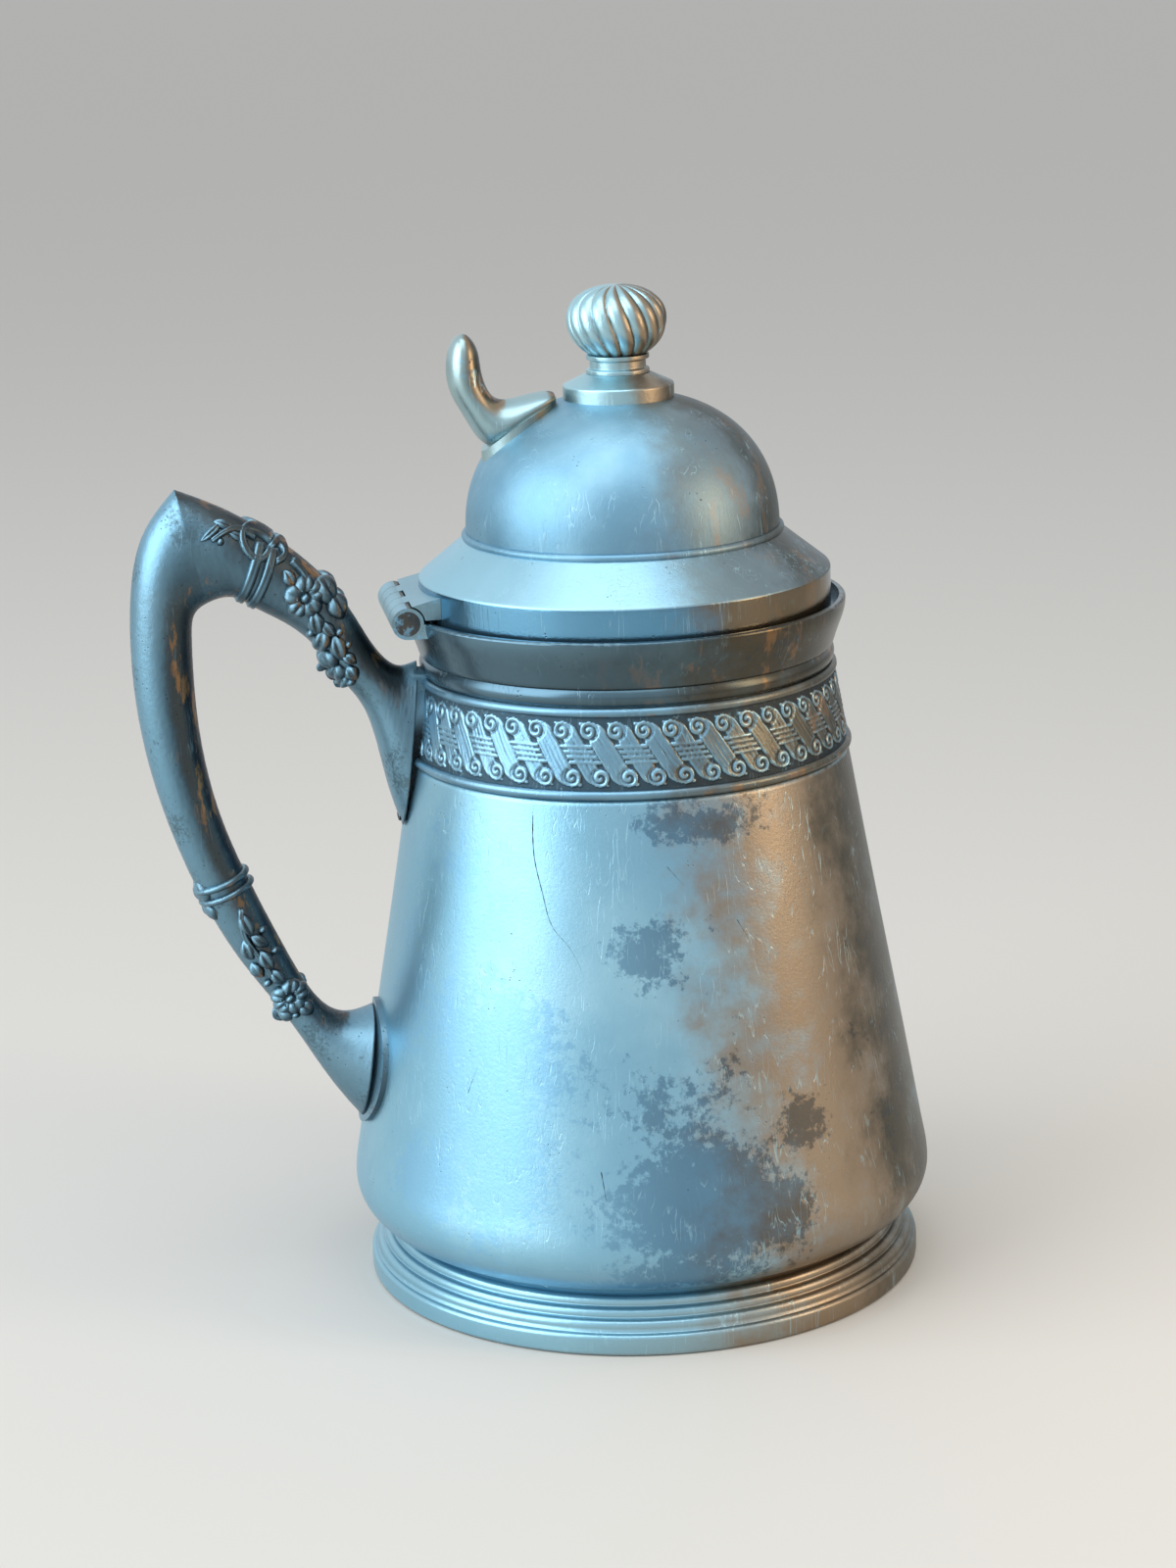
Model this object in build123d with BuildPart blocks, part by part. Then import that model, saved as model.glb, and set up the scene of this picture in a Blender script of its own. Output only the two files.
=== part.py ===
from build123d import *

import os
from math import cos, pi, radians, sin, tan

# Syrup pitcher in silver plate: a tapered body on a reeded foot, a frieze below
# the flared rim, a cast handle, and a domed lid on a five-knuckle hinge.
# Millimetres. Origin: centre of the foot's underside. +Z up, handle and hinge
# towards -X, and both halves alike about y = 0.

# Sheet metal
wall = 1.1                 # body and collar
lid_wall = 0.9             # lid and dome

# Foot, from the table up
plinth_h = 3.9
channel_h = 0.6
reeds_h = 4.8              # the three reeds together
foot_neck_h = 1.1          # from the reeds to the body's underside
foot_out = 6.0             # plinth beyond the body's flat underside
foot_edge = 0.8            # softened plinth edges
channel_in = 0.9
foot_rim = 3.6             # width of the ring that stands on the table
foot_bore_h = 2.9          # straight part of the hollow underside
foot_skin = 1.9
reed_count = 3
reed_rise = 0.5
reed_lap = 0.9             # last reed beyond the body's flat underside

# Body
belly_r = 52.0             # widest radius
under_in = 8.2             # from the widest place in to the flat underside
belly_h = 7.8              # from the flat underside up to the widest place
waist_h = 6.8              # from there to the foot of the straight side
side_in = 1.0              # straight side's foot, inside the widest place
side_h = 70.0
side_taper = 10.0          # degrees
drain_in = 3.8             # flat rim round the opening that the base disc closes
base_t = 1.1
base_lap = 2.5             # how far the disc passes under the body's edge

# Frieze
band_t = 0.7
band_h = 15.6              # from the shoulder to the foot of the collar
neck_h = 2.8               # straight neck that the collar slips over
wire_r = 0.85
wire_in = 1.0              # wires' centres, inside the band's edges

# Collar, outward from the neck
bead_out = 1.3
bead_lip = 0.4             # bead's lower edge, inside its widest place
bead_mid_h = 1.4
groove_out = 0.8
groove_h = 2.8             # from the collar's foot up to the groove
flare_out = 0.7            # first bend of the flare, beyond the groove
flare_h = 1.4
rim_out = 3.4
rim_h = 11.3               # whole height of the collar
rim_t = 1.1
rim_edge = 0.45
rim_lean = 0.25            # lip's last bend, inside its widest place
seat_depth = 1.95          # ledge under the lid, below the rim

# Lid
lid_play = 1.5             # between the lid and the collar
lid_gap = 0.3              # lid above its ledge
lid_h = 6.85               # upright wall
lid_edge = 0.5
lid_knee = 1.26            # inside corner below the outside one
cone_h = 6.9               # from the wall's top up to the dome's foot
dome_r = 27.4
dome_h = 24.1
dome_full = 2.3            # 2 would be an ellipse, more is squarer
dome_sweep = 0.93          # share of the quarter turn before the flat crown
bead_wire_r = 0.75         # wire round the dome's foot

# Finial
plate_r = 9.6
plate_t = 1.6
plate_cone_h = 1.9
plate_edge = 0.35
neck_ring_r = 5.0
neck_ring_h = 3.2
neck_fillet = 0.6
neck_bead_r = 0.4
knob_r = 8.66
knob_low_h = 7.0           # from the widest place to the lower pole
knob_top_h = 6.1
knob_foot_h = 5.8          # part of the lower half that is there
knob_full = 2.3            # fullness of the upper half
knob_flat = 0.97           # share of the upper half below the flat top
gadroons = 16
gadroon_depth = 0.6
gadroon_turn = 28.0        # twist over the knob's height, degrees
stud_r = 1.5
stud_play = 0.1
stud_in_knob = 8.0
stud_tip = 0.6             # stud below its nut
washer_in = 0.1            # washer's edge, inside the flat of the crown
washer_t = 0.8
nut_r = 3.1                # across the corners
nut_h = 2.2

# Hinge
hinge_out = 0.9            # axis outside the rim
hinge_up = 0.17            # axis above the rim
hinge_len = 25.0
knuckles = 5
knuckle_gap = 0.15
knuckle_r = 2.75
pin_r = 2.15
pin_play = 0.05
leaf_play = 0.3            # moving leaf to the other leaf's knuckles
leaf_in = 3.4              # how far the body leaf reaches in under the rim
leaf_sunk = 0.1            # body leaf's top below the rim
lid_leaf_up = 0.43         # lid leaf's underside above the axis
lid_leaf_rise = 1.6        # its top climbs this much towards the lid
lid_leaf_in = 3.0          # how far it would reach into the lid
lid_leaf_round = (2.0, 0.5)

# Thumb lift
lift_turn = 53.0           # its place on the dome's outline, degrees
lift_plate_t = 1.1
lift_plate_long = 6.6
lift_plate_wide = 6.2

# Handle: where it meets the body
seat_half = 6.4
seat_taper = 0.35          # moves the seat's widest place up
head_edge = 0.6            # thickness of the head's edge
solder_inset = 0.9         # the seat's solder lies inside its edge
solder_reach = 7.0
solder_play = 0.03
plate_up = 30.2            # lower plate's middle above the body's underside
plate_high = 10.9
plate_wide = 12.0
plate_thick = 1.0

# Heights from the table
channel_z = plinth_h + channel_h
reed_top_z = channel_z + reeds_h
floor_z = reed_top_z + foot_neck_h
belly_z = floor_z + belly_h
side_z = belly_z + waist_h
shoulder_z = side_z + side_h
neck_z = shoulder_z + band_h
lower_wire_z = shoulder_z + wire_in
upper_wire_z = neck_z - wire_in
groove_z = neck_z + groove_h
rim_z = neck_z + rim_h
seat_z = rim_z - seat_depth
lid_foot_z = seat_z + lid_gap
lid_top_z = lid_foot_z + lid_h
dome_z = lid_top_z + cone_h
hinge_z = rim_z + hinge_up
plate_z = floor_z + plate_up

slope = tan(radians(side_taper))


def side(z):
    """Radius of the body's straight side at height z."""
    return belly_r - side_in - (z - side_z) * slope


# Radii
bottom_r = belly_r - under_in
drain_r = bottom_r - drain_in
disc_r = drain_r + base_lap
foot_r = bottom_r + foot_out
foot_bore_r = foot_r - foot_rim
reed_top_r = bottom_r + reed_lap
shoulder_r = side(shoulder_z)
step_r = shoulder_r - band_t
neck_r = side(neck_z) - band_t
bead_r = neck_r + bead_out
groove_r = neck_r + groove_out
rim_r = neck_r + rim_out
rim_bore_r = rim_r - rim_t
lid_r = rim_bore_r - lid_play
hinge_x = -rim_r - hinge_out


def belly_lines(inset):
    """Body outline from its flat underside to the foot of the straight side, moved in by inset."""
    under = EllipticalCenterArc(
        (bottom_r, belly_z), belly_r - bottom_r - inset, belly_z - floor_z - inset,
        start_angle=270, arc_size=90,
    )
    curve = Spline(
        (belly_r - inset, belly_z), (side(side_z) - inset, side_z),
        tangents=((0, 1), (-slope, 1)),
    )
    return under, curve


def dome_point(turn, grow=0.0):
    """Radius and height of the dome's outline at an angle up from its foot, moved out by grow."""
    r = (dome_r + grow) * cos(turn) ** (2 / dome_full)
    z = dome_z + (dome_h + grow) * sin(turn) ** (2 / dome_full)
    return r, z


def dome_points(grow):
    """Points of the dome's outline from foot to crown, moved out by grow."""
    points = []
    for step in range(7):
        points.append(dome_point(step / 6 * dome_sweep * pi / 2, grow))
    return points


def dome_solid_lines(grow):
    """Closed half outline of the dome as a full solid, moved out by grow."""
    points = dome_points(grow)
    edge = Spline(*points, tangents=((0, 1), (-1, 0)))
    Polyline(edge @ 1, (0, points[-1][1]), (0, dome_z), edge @ 0)


crown_z = dome_points(0)[-1][1]
inner_crown_z = crown_z - lid_wall
plate_top_z = crown_z + plate_t
ring_z = plate_top_z + plate_cone_h
knob_z = ring_z + neck_ring_h
knob_mid_z = knob_z + knob_foot_h


# Body shell: spun sheet with its lower edge turned in over the foot.
with BuildPart() as body_shell:
    with BuildSketch(Plane.XZ):
        with BuildLine():
            under, curve = belly_lines(0)
            Line((drain_r, floor_z), under @ 0)
            Polyline(
                curve @ 1, (shoulder_r, shoulder_z), (step_r, shoulder_z), (neck_r, neck_z),
                (neck_r, neck_z + neck_h), (neck_r - wall, neck_z + neck_h), (neck_r - wall, neck_z),
                (step_r - wall, shoulder_z), (side(shoulder_z - 2 * wall) - wall, shoulder_z - 2 * wall),
                (side(side_z) - wall, side_z),
            )
            inner_under, inner_curve = belly_lines(wall)
            Polyline(inner_under @ 0, (drain_r, floor_z + wall), (drain_r, floor_z))
        make_face()
    revolve(axis=Axis.Z)
body_shell.part.label = "body_shell"

# Base disc: closes the bottom from below and rests in the foot ring.
with BuildPart() as base_disc:
    with BuildSketch(Plane.XY.offset(floor_z - base_t)):
        Circle(disc_r)
    extrude(amount=base_t)
base_disc.part.label = "base_disc"

# Foot ring: a plain plinth, a channel, three reeds and a hollow underside.
with BuildPart() as foot_ring:
    channel_r = foot_r - channel_in
    reed_foot = (channel_r - channel_h / 2, channel_z)
    reed_step = ((reed_top_r - reed_foot[0]) / reed_count, (reed_top_z - reed_foot[1]) / reed_count)
    with BuildSketch(Plane.XZ):
        with BuildLine():
            Polyline(
                (foot_bore_r, 0), (foot_r, 0), (foot_r, plinth_h), (channel_r, plinth_h), reed_foot,
            )
            for reed in range(reed_count):
                low = (reed_foot[0] + reed * reed_step[0], reed_foot[1] + reed * reed_step[1])
                high = (low[0] + reed_step[0], low[1] + reed_step[1])
                SagittaArc(low, high, -reed_rise)
            Polyline(
                (reed_top_r, reed_top_z), (bottom_r, floor_z), (disc_r, floor_z),
                (disc_r, floor_z - base_t), (disc_r - foot_skin, floor_z - base_t),
                (disc_r - foot_skin, reed_top_z - foot_skin), (foot_bore_r, foot_bore_h), (foot_bore_r, 0),
            )
        make_face()
    revolve(axis=Axis.Z)
    plinth_edges = foot_ring.edges().filter_by(lambda edge: abs(edge.radius - foot_r) < 1e-4
                                               if edge.geom_type == GeomType.CIRCLE else False)
    fillet(plinth_edges, foot_edge)
foot_ring.part.label = "foot_ring"

# Frieze band: a die-rolled strip let into the shoulder's step.
band_outline = [
    (side(lower_wire_z) - band_t, lower_wire_z), (side(lower_wire_z), lower_wire_z),
    (side(upper_wire_z), upper_wire_z), (side(upper_wire_z) - band_t, upper_wire_z),
]
with BuildPart() as frieze_band:
    with BuildSketch(Plane.XZ):
        with BuildLine():
            Polyline(*band_outline, close=True)
        make_face()
    revolve(axis=Axis.Z)
frieze_band.part.label = "frieze_band"

# The body as a full solid with the band on it: trims what is soldered to it.
with BuildPart() as body_core:
    with BuildSketch(Plane.XZ):
        with BuildLine():
            under, curve = belly_lines(0)
            Line((0, floor_z), under @ 0)
            Polyline(
                curve @ 1, (shoulder_r, shoulder_z), (step_r, shoulder_z),
                (neck_r, neck_z), (neck_r, neck_z + neck_h), (0, neck_z + neck_h), (0, floor_z),
            )
        make_face()
    revolve(axis=Axis.Z)
    add(frieze_band.part)

# Frieze wires: half-round mouldings that cover the band's edges.
wires = []
for name, z in (("frieze_lower_wire", lower_wire_z), ("frieze_upper_wire", upper_wire_z)):
    with BuildPart() as wire:
        with BuildSketch(Plane.XZ):
            with Locations((side(z), z)):
                Circle(wire_r)
            with BuildLine():
                Polyline(*band_outline, close=True)
            make_face(mode=Mode.SUBTRACT)
            with BuildLine():
                Polyline(
                    (0, side_z), (side(side_z), side_z), (shoulder_r, shoulder_z), (step_r, shoulder_z),
                    (neck_r, neck_z), (0, neck_z), close=True,
                )
            make_face(mode=Mode.SUBTRACT)
        revolve(axis=Axis.Z)
    wire.part.label = name
    wires.append(wire.part)


def knuckle_span(index, spare=0.0):
    """Start and end of a knuckle along the hinge, shortened by spare at each end."""
    pitch = (hinge_len + knuckle_gap) / knuckles
    start = -hinge_len / 2 + index * pitch
    return start + spare, start + pitch - knuckle_gap - spare


def y_cylinder(radius, start, end, mode):
    """Cylinder about the hinge's axis from y = start to y = end."""
    with Locations((hinge_x, (start + end) / 2, hinge_z)):
        Cylinder(radius, end - start, rotation=(90, 0, 0), mode=mode)


# Body leaf: three knuckles on a block that is soldered into the rim's notch.
with BuildPart() as hinge_body_leaf:
    with BuildSketch(Plane.XZ.offset(-hinge_len / 2)):
        with BuildLine():
            Polyline(
                (hinge_x, hinge_z - knuckle_r), (leaf_in - rim_r, hinge_z - knuckle_r),
                (leaf_in - rim_r, rim_z - leaf_sunk), (hinge_x, rim_z - leaf_sunk), close=True,
            )
        make_face()
    extrude(amount=hinge_len)
    with BuildSketch(Plane.XY.offset(neck_z)):
        Circle(rim_bore_r)
    extrude(amount=2 * rim_h, mode=Mode.SUBTRACT)
    y_cylinder(knuckle_r, -hinge_len / 2, hinge_len / 2, Mode.ADD)
    for index in range(1, knuckles, 2):
        start, end = knuckle_span(index, -knuckle_gap)
        y_cylinder(knuckle_r + leaf_play, start, end, Mode.SUBTRACT)
    y_cylinder(pin_r, -hinge_len / 2, hinge_len / 2, Mode.SUBTRACT)
hinge_body_leaf.part.label = "hinge_body_leaf"

# Rim collar: bead, groove and flared lip, with a ledge inside that carries the lid.
# It slips over the neck, and is notched at the hinge.
with BuildPart() as rim_collar:
    with BuildSketch(Plane.XZ):
        with BuildLine():
            Line((neck_r, neck_z), (bead_r - bead_lip, neck_z))
            ThreePointArc(
                (bead_r - bead_lip, neck_z), (bead_r, neck_z + bead_mid_h), (groove_r, groove_z),
            )
            Spline(
                (groove_r, groove_z), (groove_r + flare_out, groove_z + flare_h),
                (rim_r - rim_lean, seat_z - rim_edge), (rim_r, rim_z - rim_edge),
                tangents=((1, 0.7), (0, 1)),
            )
            RadiusArc((rim_r, rim_z - rim_edge), (rim_r - rim_edge, rim_z), -rim_edge)
            Polyline(
                (rim_r - rim_edge, rim_z), (rim_bore_r, rim_z), (rim_bore_r, seat_z),
                (neck_r - wall, seat_z), (neck_r - wall, neck_z + neck_h), (neck_r, neck_z + neck_h),
                (neck_r, neck_z),
            )
        make_face()
    revolve(axis=Axis.Z)
    add(hinge_body_leaf.part, mode=Mode.SUBTRACT)
    y_cylinder(pin_r, -hinge_len / 2, hinge_len / 2, Mode.SUBTRACT)
    for index in range(1, knuckles, 2):
        start, end = knuckle_span(index, -knuckle_gap)
        y_cylinder(knuckle_r + leaf_play, start, end, Mode.SUBTRACT)
rim_collar.part.label = "rim_collar"

with BuildPart() as hinge_pin:
    y_cylinder(pin_r, -hinge_len / 2, hinge_len / 2, Mode.ADD)
hinge_pin.part.label = "hinge_pin"

# Lid skirt: upright wall and the cone above it, in one spun piece.
cone_top = (dome_r, dome_z)
with BuildPart() as lid_skirt:
    with BuildSketch(Plane.XZ):
        with BuildLine():
            Line((lid_r - lid_wall, lid_foot_z), (lid_r, lid_foot_z))
            Line((lid_r, lid_foot_z), (lid_r, lid_top_z - lid_edge))
            RadiusArc((lid_r, lid_top_z - lid_edge), (lid_r - lid_edge, lid_top_z), -lid_edge)
            Polyline(
                (lid_r - lid_edge, lid_top_z), cone_top, (dome_r - lid_wall, dome_z),
                (dome_r - lid_wall, dome_z - lid_wall), (lid_r - lid_wall, lid_top_z - lid_knee),
                (lid_r - lid_wall, lid_foot_z),
            )
        make_face()
    revolve(axis=Axis.Z)
lid_skirt.part.label = "lid_skirt"

# The lid skirt as a full solid: trims the leaf that is soldered to it.
with BuildPart() as lid_core:
    with BuildSketch(Plane.XZ):
        with BuildLine():
            Line((0, lid_foot_z), (lid_r, lid_foot_z))
            Line((lid_r, lid_foot_z), (lid_r, lid_top_z - lid_edge))
            RadiusArc((lid_r, lid_top_z - lid_edge), (lid_r - lid_edge, lid_top_z), -lid_edge)
            Polyline((lid_r - lid_edge, lid_top_z), cone_top, (0, dome_z), (0, lid_foot_z))
        make_face()
    revolve(axis=Axis.Z)

# Lid leaf: two knuckles between the body's three, on a plate that meets the lid's wall.
with BuildPart() as hinge_lid_leaf:
    leaf_top_z = hinge_z + knuckle_r
    leaf_root_x = lid_leaf_in - lid_r
    lid_leaf_z = hinge_z + lid_leaf_up
    round_x, round_z = lid_leaf_round
    with BuildSketch(Plane.XZ.offset(-hinge_len / 2)):
        with BuildLine():
            Polyline(
                (hinge_x, lid_leaf_z), (leaf_root_x, lid_leaf_z),
                (leaf_root_x, leaf_top_z + lid_leaf_rise), (hinge_x + round_x, leaf_top_z + round_z),
                (hinge_x, leaf_top_z), close=True,
            )
        make_face()
    extrude(amount=hinge_len)
    add(lid_core.part, mode=Mode.SUBTRACT)
    for index in range(0, knuckles, 2):
        start, end = knuckle_span(index, -knuckle_gap)
        y_cylinder(knuckle_r + leaf_play, start, end, Mode.SUBTRACT)
    for index in range(1, knuckles, 2):
        start, end = knuckle_span(index)
        y_cylinder(knuckle_r, start, end, Mode.ADD)
    y_cylinder(pin_r + pin_play, -hinge_len / 2, hinge_len / 2, Mode.SUBTRACT)
hinge_lid_leaf.part.label = "hinge_lid_leaf"

# Dome: its crown is flat under the finial plate and has a hole for the stud.
with BuildPart() as lid_dome:
    with BuildSketch(Plane.XZ):
        with BuildLine():
            dome_solid_lines(0)
        make_face()
    revolve(axis=Axis.Z)
    with BuildSketch(Plane.XZ):
        with BuildLine():
            dome_solid_lines(-lid_wall)
        make_face()
    revolve(axis=Axis.Z, mode=Mode.SUBTRACT)
    with BuildSketch(Plane.XY.offset(dome_z)):
        Circle(stud_r + stud_play)
    extrude(amount=dome_h, mode=Mode.SUBTRACT)
lid_dome.part.label = "lid_dome"

# The dome as a full solid, plain and with the lift's base plate on it.
with BuildPart() as dome_core:
    with BuildSketch(Plane.XZ):
        with BuildLine():
            dome_solid_lines(0)
        make_face()
    revolve(axis=Axis.Z)

with BuildPart() as dome_grown:
    with BuildSketch(Plane.XZ):
        with BuildLine():
            dome_solid_lines(lift_plate_t)
        make_face()
    revolve(axis=Axis.Z)

# Bead: half-round wire over the joint of dome and cone.
with BuildPart() as lid_bead:
    with BuildSketch(Plane.XZ):
        with Locations((dome_r, dome_z)):
            Circle(bead_wire_r)
        with BuildLine():
            Polyline(
                (lid_r - lid_edge, lid_top_z), (dome_r, dome_z), (dome_r, dome_z + dome_h),
                (0, dome_z + dome_h), (0, lid_top_z), close=True,
            )
        make_face(mode=Mode.SUBTRACT)
    revolve(axis=Axis.Z)
    add(dome_core.part, mode=Mode.SUBTRACT)
lid_bead.part.label = "lid_bead"

# Finial: plate, neck ring, knob, and the stud, washer and nut that hold them.
with BuildPart() as finial_plate:
    with BuildSketch(Plane.XZ):
        with BuildLine():
            Polyline(
                (stud_r + stud_play, dome_z), (plate_r, dome_z), (plate_r, plate_top_z - plate_edge),
                (plate_r - plate_edge, plate_top_z), (neck_ring_r + neck_fillet, ring_z),
                (stud_r + stud_play, ring_z), close=True,
            )
        make_face()
    revolve(axis=Axis.Z)
    add(dome_core.part, mode=Mode.SUBTRACT)
finial_plate.part.label = "finial_plate"

with BuildPart() as finial_neck:
    with BuildSketch(Plane.XY.offset(ring_z)):
        Circle(neck_ring_r)
        Circle(stud_r + stud_play, mode=Mode.SUBTRACT)
    extrude(amount=neck_ring_h)
    with BuildSketch(Plane.XZ):
        with Locations((neck_ring_r, ring_z + neck_bead_r), (neck_ring_r, knob_z - neck_bead_r)):
            Circle(neck_bead_r)
    revolve(axis=Axis.Z)
finial_neck.part.label = "finial_neck"


def knob_radius(z):
    """Knob's radius at height z above its widest place: an ellipse below, a fuller curve above."""
    if z < 0:
        return knob_r * (1 - (-z / knob_low_h) ** 2) ** 0.5
    return knob_r * (1 - (z / knob_top_h) ** knob_full) ** (1 / knob_full)


# Knob: sixteen gadroons that twist about the axis, lofted through lobed sections.
with BuildPart() as finial_knob:
    knob_low = -knob_foot_h
    knob_high = knob_top_h * knob_flat
    for step in range(8):
        share = (1 - cos(pi * step / 7)) / 2
        z = knob_low + (knob_high - knob_low) * share
        lobe = 2 * pi / gadroons
        turn = radians(gadroon_turn) * share
        crest = knob_radius(z)
        valley = crest * (1 - gadroon_depth / knob_r)
        with BuildSketch(Plane.XY.offset(knob_mid_z + z)):
            with BuildLine():
                for index in range(gadroons):
                    a, b, c = (turn + lobe * (index + half) for half in (0, 0.5, 1))
                    ThreePointArc(
                        (valley * cos(a), valley * sin(a)), (crest * cos(b), crest * sin(b)),
                        (valley * cos(c), valley * sin(c)),
                    )
            make_face()
    loft()
    with BuildSketch(Plane.XY.offset(knob_z)):
        Circle(stud_r)
    extrude(amount=stud_in_knob, mode=Mode.SUBTRACT)
finial_knob.part.label = "finial_knob"

nut_z = inner_crown_z - washer_t - nut_h
with BuildPart() as finial_stud:
    with BuildSketch(Plane.XY.offset(nut_z - stud_tip)):
        Circle(stud_r)
    extrude(amount=knob_z + stud_in_knob - nut_z + stud_tip)
finial_stud.part.label = "finial_stud"

with BuildPart() as finial_washer:
    with BuildSketch(Plane.XY.offset(inner_crown_z - washer_t)):
        Circle(dome_points(-lid_wall)[-1][0] - washer_in)
        Circle(stud_r + stud_play, mode=Mode.SUBTRACT)
    extrude(amount=washer_t)
finial_washer.part.label = "finial_washer"

with BuildPart() as finial_nut:
    with BuildSketch(Plane.XY.offset(nut_z)):
        RegularPolygon(nut_r, 6)
        Circle(stud_r, mode=Mode.SUBTRACT)
    extrude(amount=nut_h)
finial_nut.part.label = "finial_nut"


def oval(inner, outer, half, taper=0.0, steps=2):
    """Closed outline across a cast arm, from the inner point to the outer one in the plane y = 0.

    half is its half width. taper moves the widest place towards the outer point. Each side
    is one curve in so many steps.
    """
    long = Vector(outer[0] - inner[0], 0, outer[1] - inner[1])
    middle = Vector((outer[0] + inner[0]) / 2, 0, (outer[1] + inner[1]) / 2)
    normal = long.normalized().cross(Vector(0, 1, 0))
    with BuildSketch(Plane(origin=middle, x_dir=long.normalized(), z_dir=normal)) as section:
        with BuildLine():
            turns = [pi * step / steps for step in range(steps + 1)]
            upper = [
                (long.length / 2 * cos(t), half * sin(t) * (1 + taper * cos(t))) for t in turns
            ]
            lower = [(x, -y) for x, y in reversed(upper)]
            Spline(*upper, tangents=((0, 1), (0, -1)))
            Spline(*lower, tangents=((0, -1), (0, 1)))
        make_face()
    return section.sketch


# Lift's base plate: a thin oval on the dome.
lift_r, lift_z = dome_point(radians(lift_turn))
with BuildPart() as thumb_lift_plate:
    with BuildSketch(Plane.XY.offset(dome_z)):
        with Locations((-lift_r, 0)):
            Ellipse(lift_plate_long, lift_plate_wide)
    extrude(amount=dome_h + 2 * lift_plate_t)
    add(dome_grown.part, mode=Mode.INTERSECT)
    add(dome_core.part, mode=Mode.SUBTRACT)
    add(finial_plate.part, mode=Mode.SUBTRACT)
thumb_lift_plate.part.label = "thumb_lift_plate"

# Thumb lift: a cast tongue that stands up from the dome and curls back to a rounded tip.
# Each line gives its lower and upper point beside the plate's middle, and its half width.
lift_sections = [
    ((5.2, 2.8), (5.6, 4.9), 3.6),
    ((0.2, -1.9), (1.0, 4.4), 5.2),
    ((-6.0, -3.4), (-2.2, 3.9), 5.0),
    ((-9.3, 1.1), (-4.2, 4.6), 4.5),
    ((-11.6, 5.6), (-5.6, 6.8), 4.2),
    ((-12.2, 9.8), (-6.3, 9.8), 4.0),
    ((-11.3, 13.9), (-7.0, 13.5), 3.0),
    ((-9.9, 15.4), (-8.4, 15.2), 1.3),
]


def on_lift(point):
    """Place of a point that is given beside the middle of the lift's plate."""
    return point[0] - lift_r, point[1] + lift_z


with BuildPart() as thumb_lift:
    loft([oval(on_lift(low), on_lift(high), half) for low, high, half in lift_sections])
    add(dome_grown.part, mode=Mode.SUBTRACT)
    add(finial_plate.part, mode=Mode.SUBTRACT)
thumb_lift.part.label = "thumb_lift"

# Handle: the arm and the grip meet in a soft ridge at the peak. Each line gives the point
# inside the handle, the point outside it, and the half width there. A point is measured out
# from the line of the body's side, and up from the shoulder or from the lower plate.
ridge = ((39.6, 30.4), (47.5, 50.4), 6.0)
arm_lines = [
    ridge,
    ((35.8, 31.3), (39.9, 47.2), 6.3),
    ((31.4, 29.3), (31.5, 42.6), 6.2),
    ((26.2, 26.5), (23.0, 36.6), 5.8),
    ((20.2, 22.0), (15.3, 28.8), 5.3),
    ((15.1, 16.0), (9.8, 21.4), 5.0),
]
head_line = ((9.4, 9.4), (5.5, 18.0), 5.2)
seat_line = ((1.0, -11.5), (2.4, 17.8), seat_half)
grip_lines = [
    ridge,
    ((41.6, 28.4), (51.8, 43.4), 5.9),
    ((41.5, 24.6), (52.9, 33.3), 5.8),
    ((40.7, 19.6), (51.7, 22.4), 5.6),
    ((38.6, 9.6), (48.8, 9.8), 5.4),
    ((33.9, -4.8), (43.1, -5.4), 5.0),
    ((28.0, -16.6), (35.9, -19.4), 4.6),
]
foot_lines = [
    ((19.0, 22.8), (25.6, 19.8), 4.3),
    ((10.1, 11.0), (14.5, 6.6), 4.8),
    ((4.7, 9.0), (6.5, -3.8), 7.2),
    ((0.6, 10.4), (0.5, -10.4), 9.4),
]


def beside(line, level):
    """Both points of a handle line, from out and up to x and z, and its half width."""
    *points, half = line
    places = [(-side(level + up) - out, level + up) for out, up in points]
    return *places, half


with BuildPart() as body_grown:
    with BuildSketch(Plane.XZ):
        with BuildLine():
            low_z, high_z = plate_z - 2 * plate_high, plate_z + 2 * plate_high
            Polyline(
                (0, low_z), (side(low_z) + plate_thick, low_z), (side(high_z) + plate_thick, high_z),
                (0, high_z), close=True,
            )
        make_face()
    revolve(axis=Axis.Z)

with BuildPart() as handle:
    loft([oval(*beside(line, shoulder_z), steps=6) for line in arm_lines])
    seat_low, seat_top, _ = beside(seat_line, shoulder_z)
    head_low, head_top = ((x - head_edge, z) for x, z in (seat_low, seat_top))
    head_face = oval(head_low, head_top, seat_half, seat_taper, 6)
    loft([oval(*beside(line, shoulder_z), steps=6) for line in (arm_lines[-1], head_line)] + [head_face])
    extrude(head_face, amount=-head_edge)
    loft(
        [oval(*beside(line, shoulder_z), steps=6) for line in grip_lines]
        + [oval(*beside(line, plate_z), steps=6) for line in foot_lines]
    )
    add(body_grown.part, mode=Mode.SUBTRACT)
handle.part.label = "handle"

# Lower plate: an oval patch on the body that the handle's foot is soldered to.
with BuildPart() as handle_lower_plate:
    with BuildSketch(Plane.YZ.offset(-2 * belly_r)):
        with Locations((0, plate_z)):
            Ellipse(plate_wide, plate_high)
    extrude(amount=2 * belly_r)
    add(body_grown.part, mode=Mode.INTERSECT)
    add(body_core.part, mode=Mode.SUBTRACT)
handle_lower_plate.part.label = "handle_lower_plate"

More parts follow.
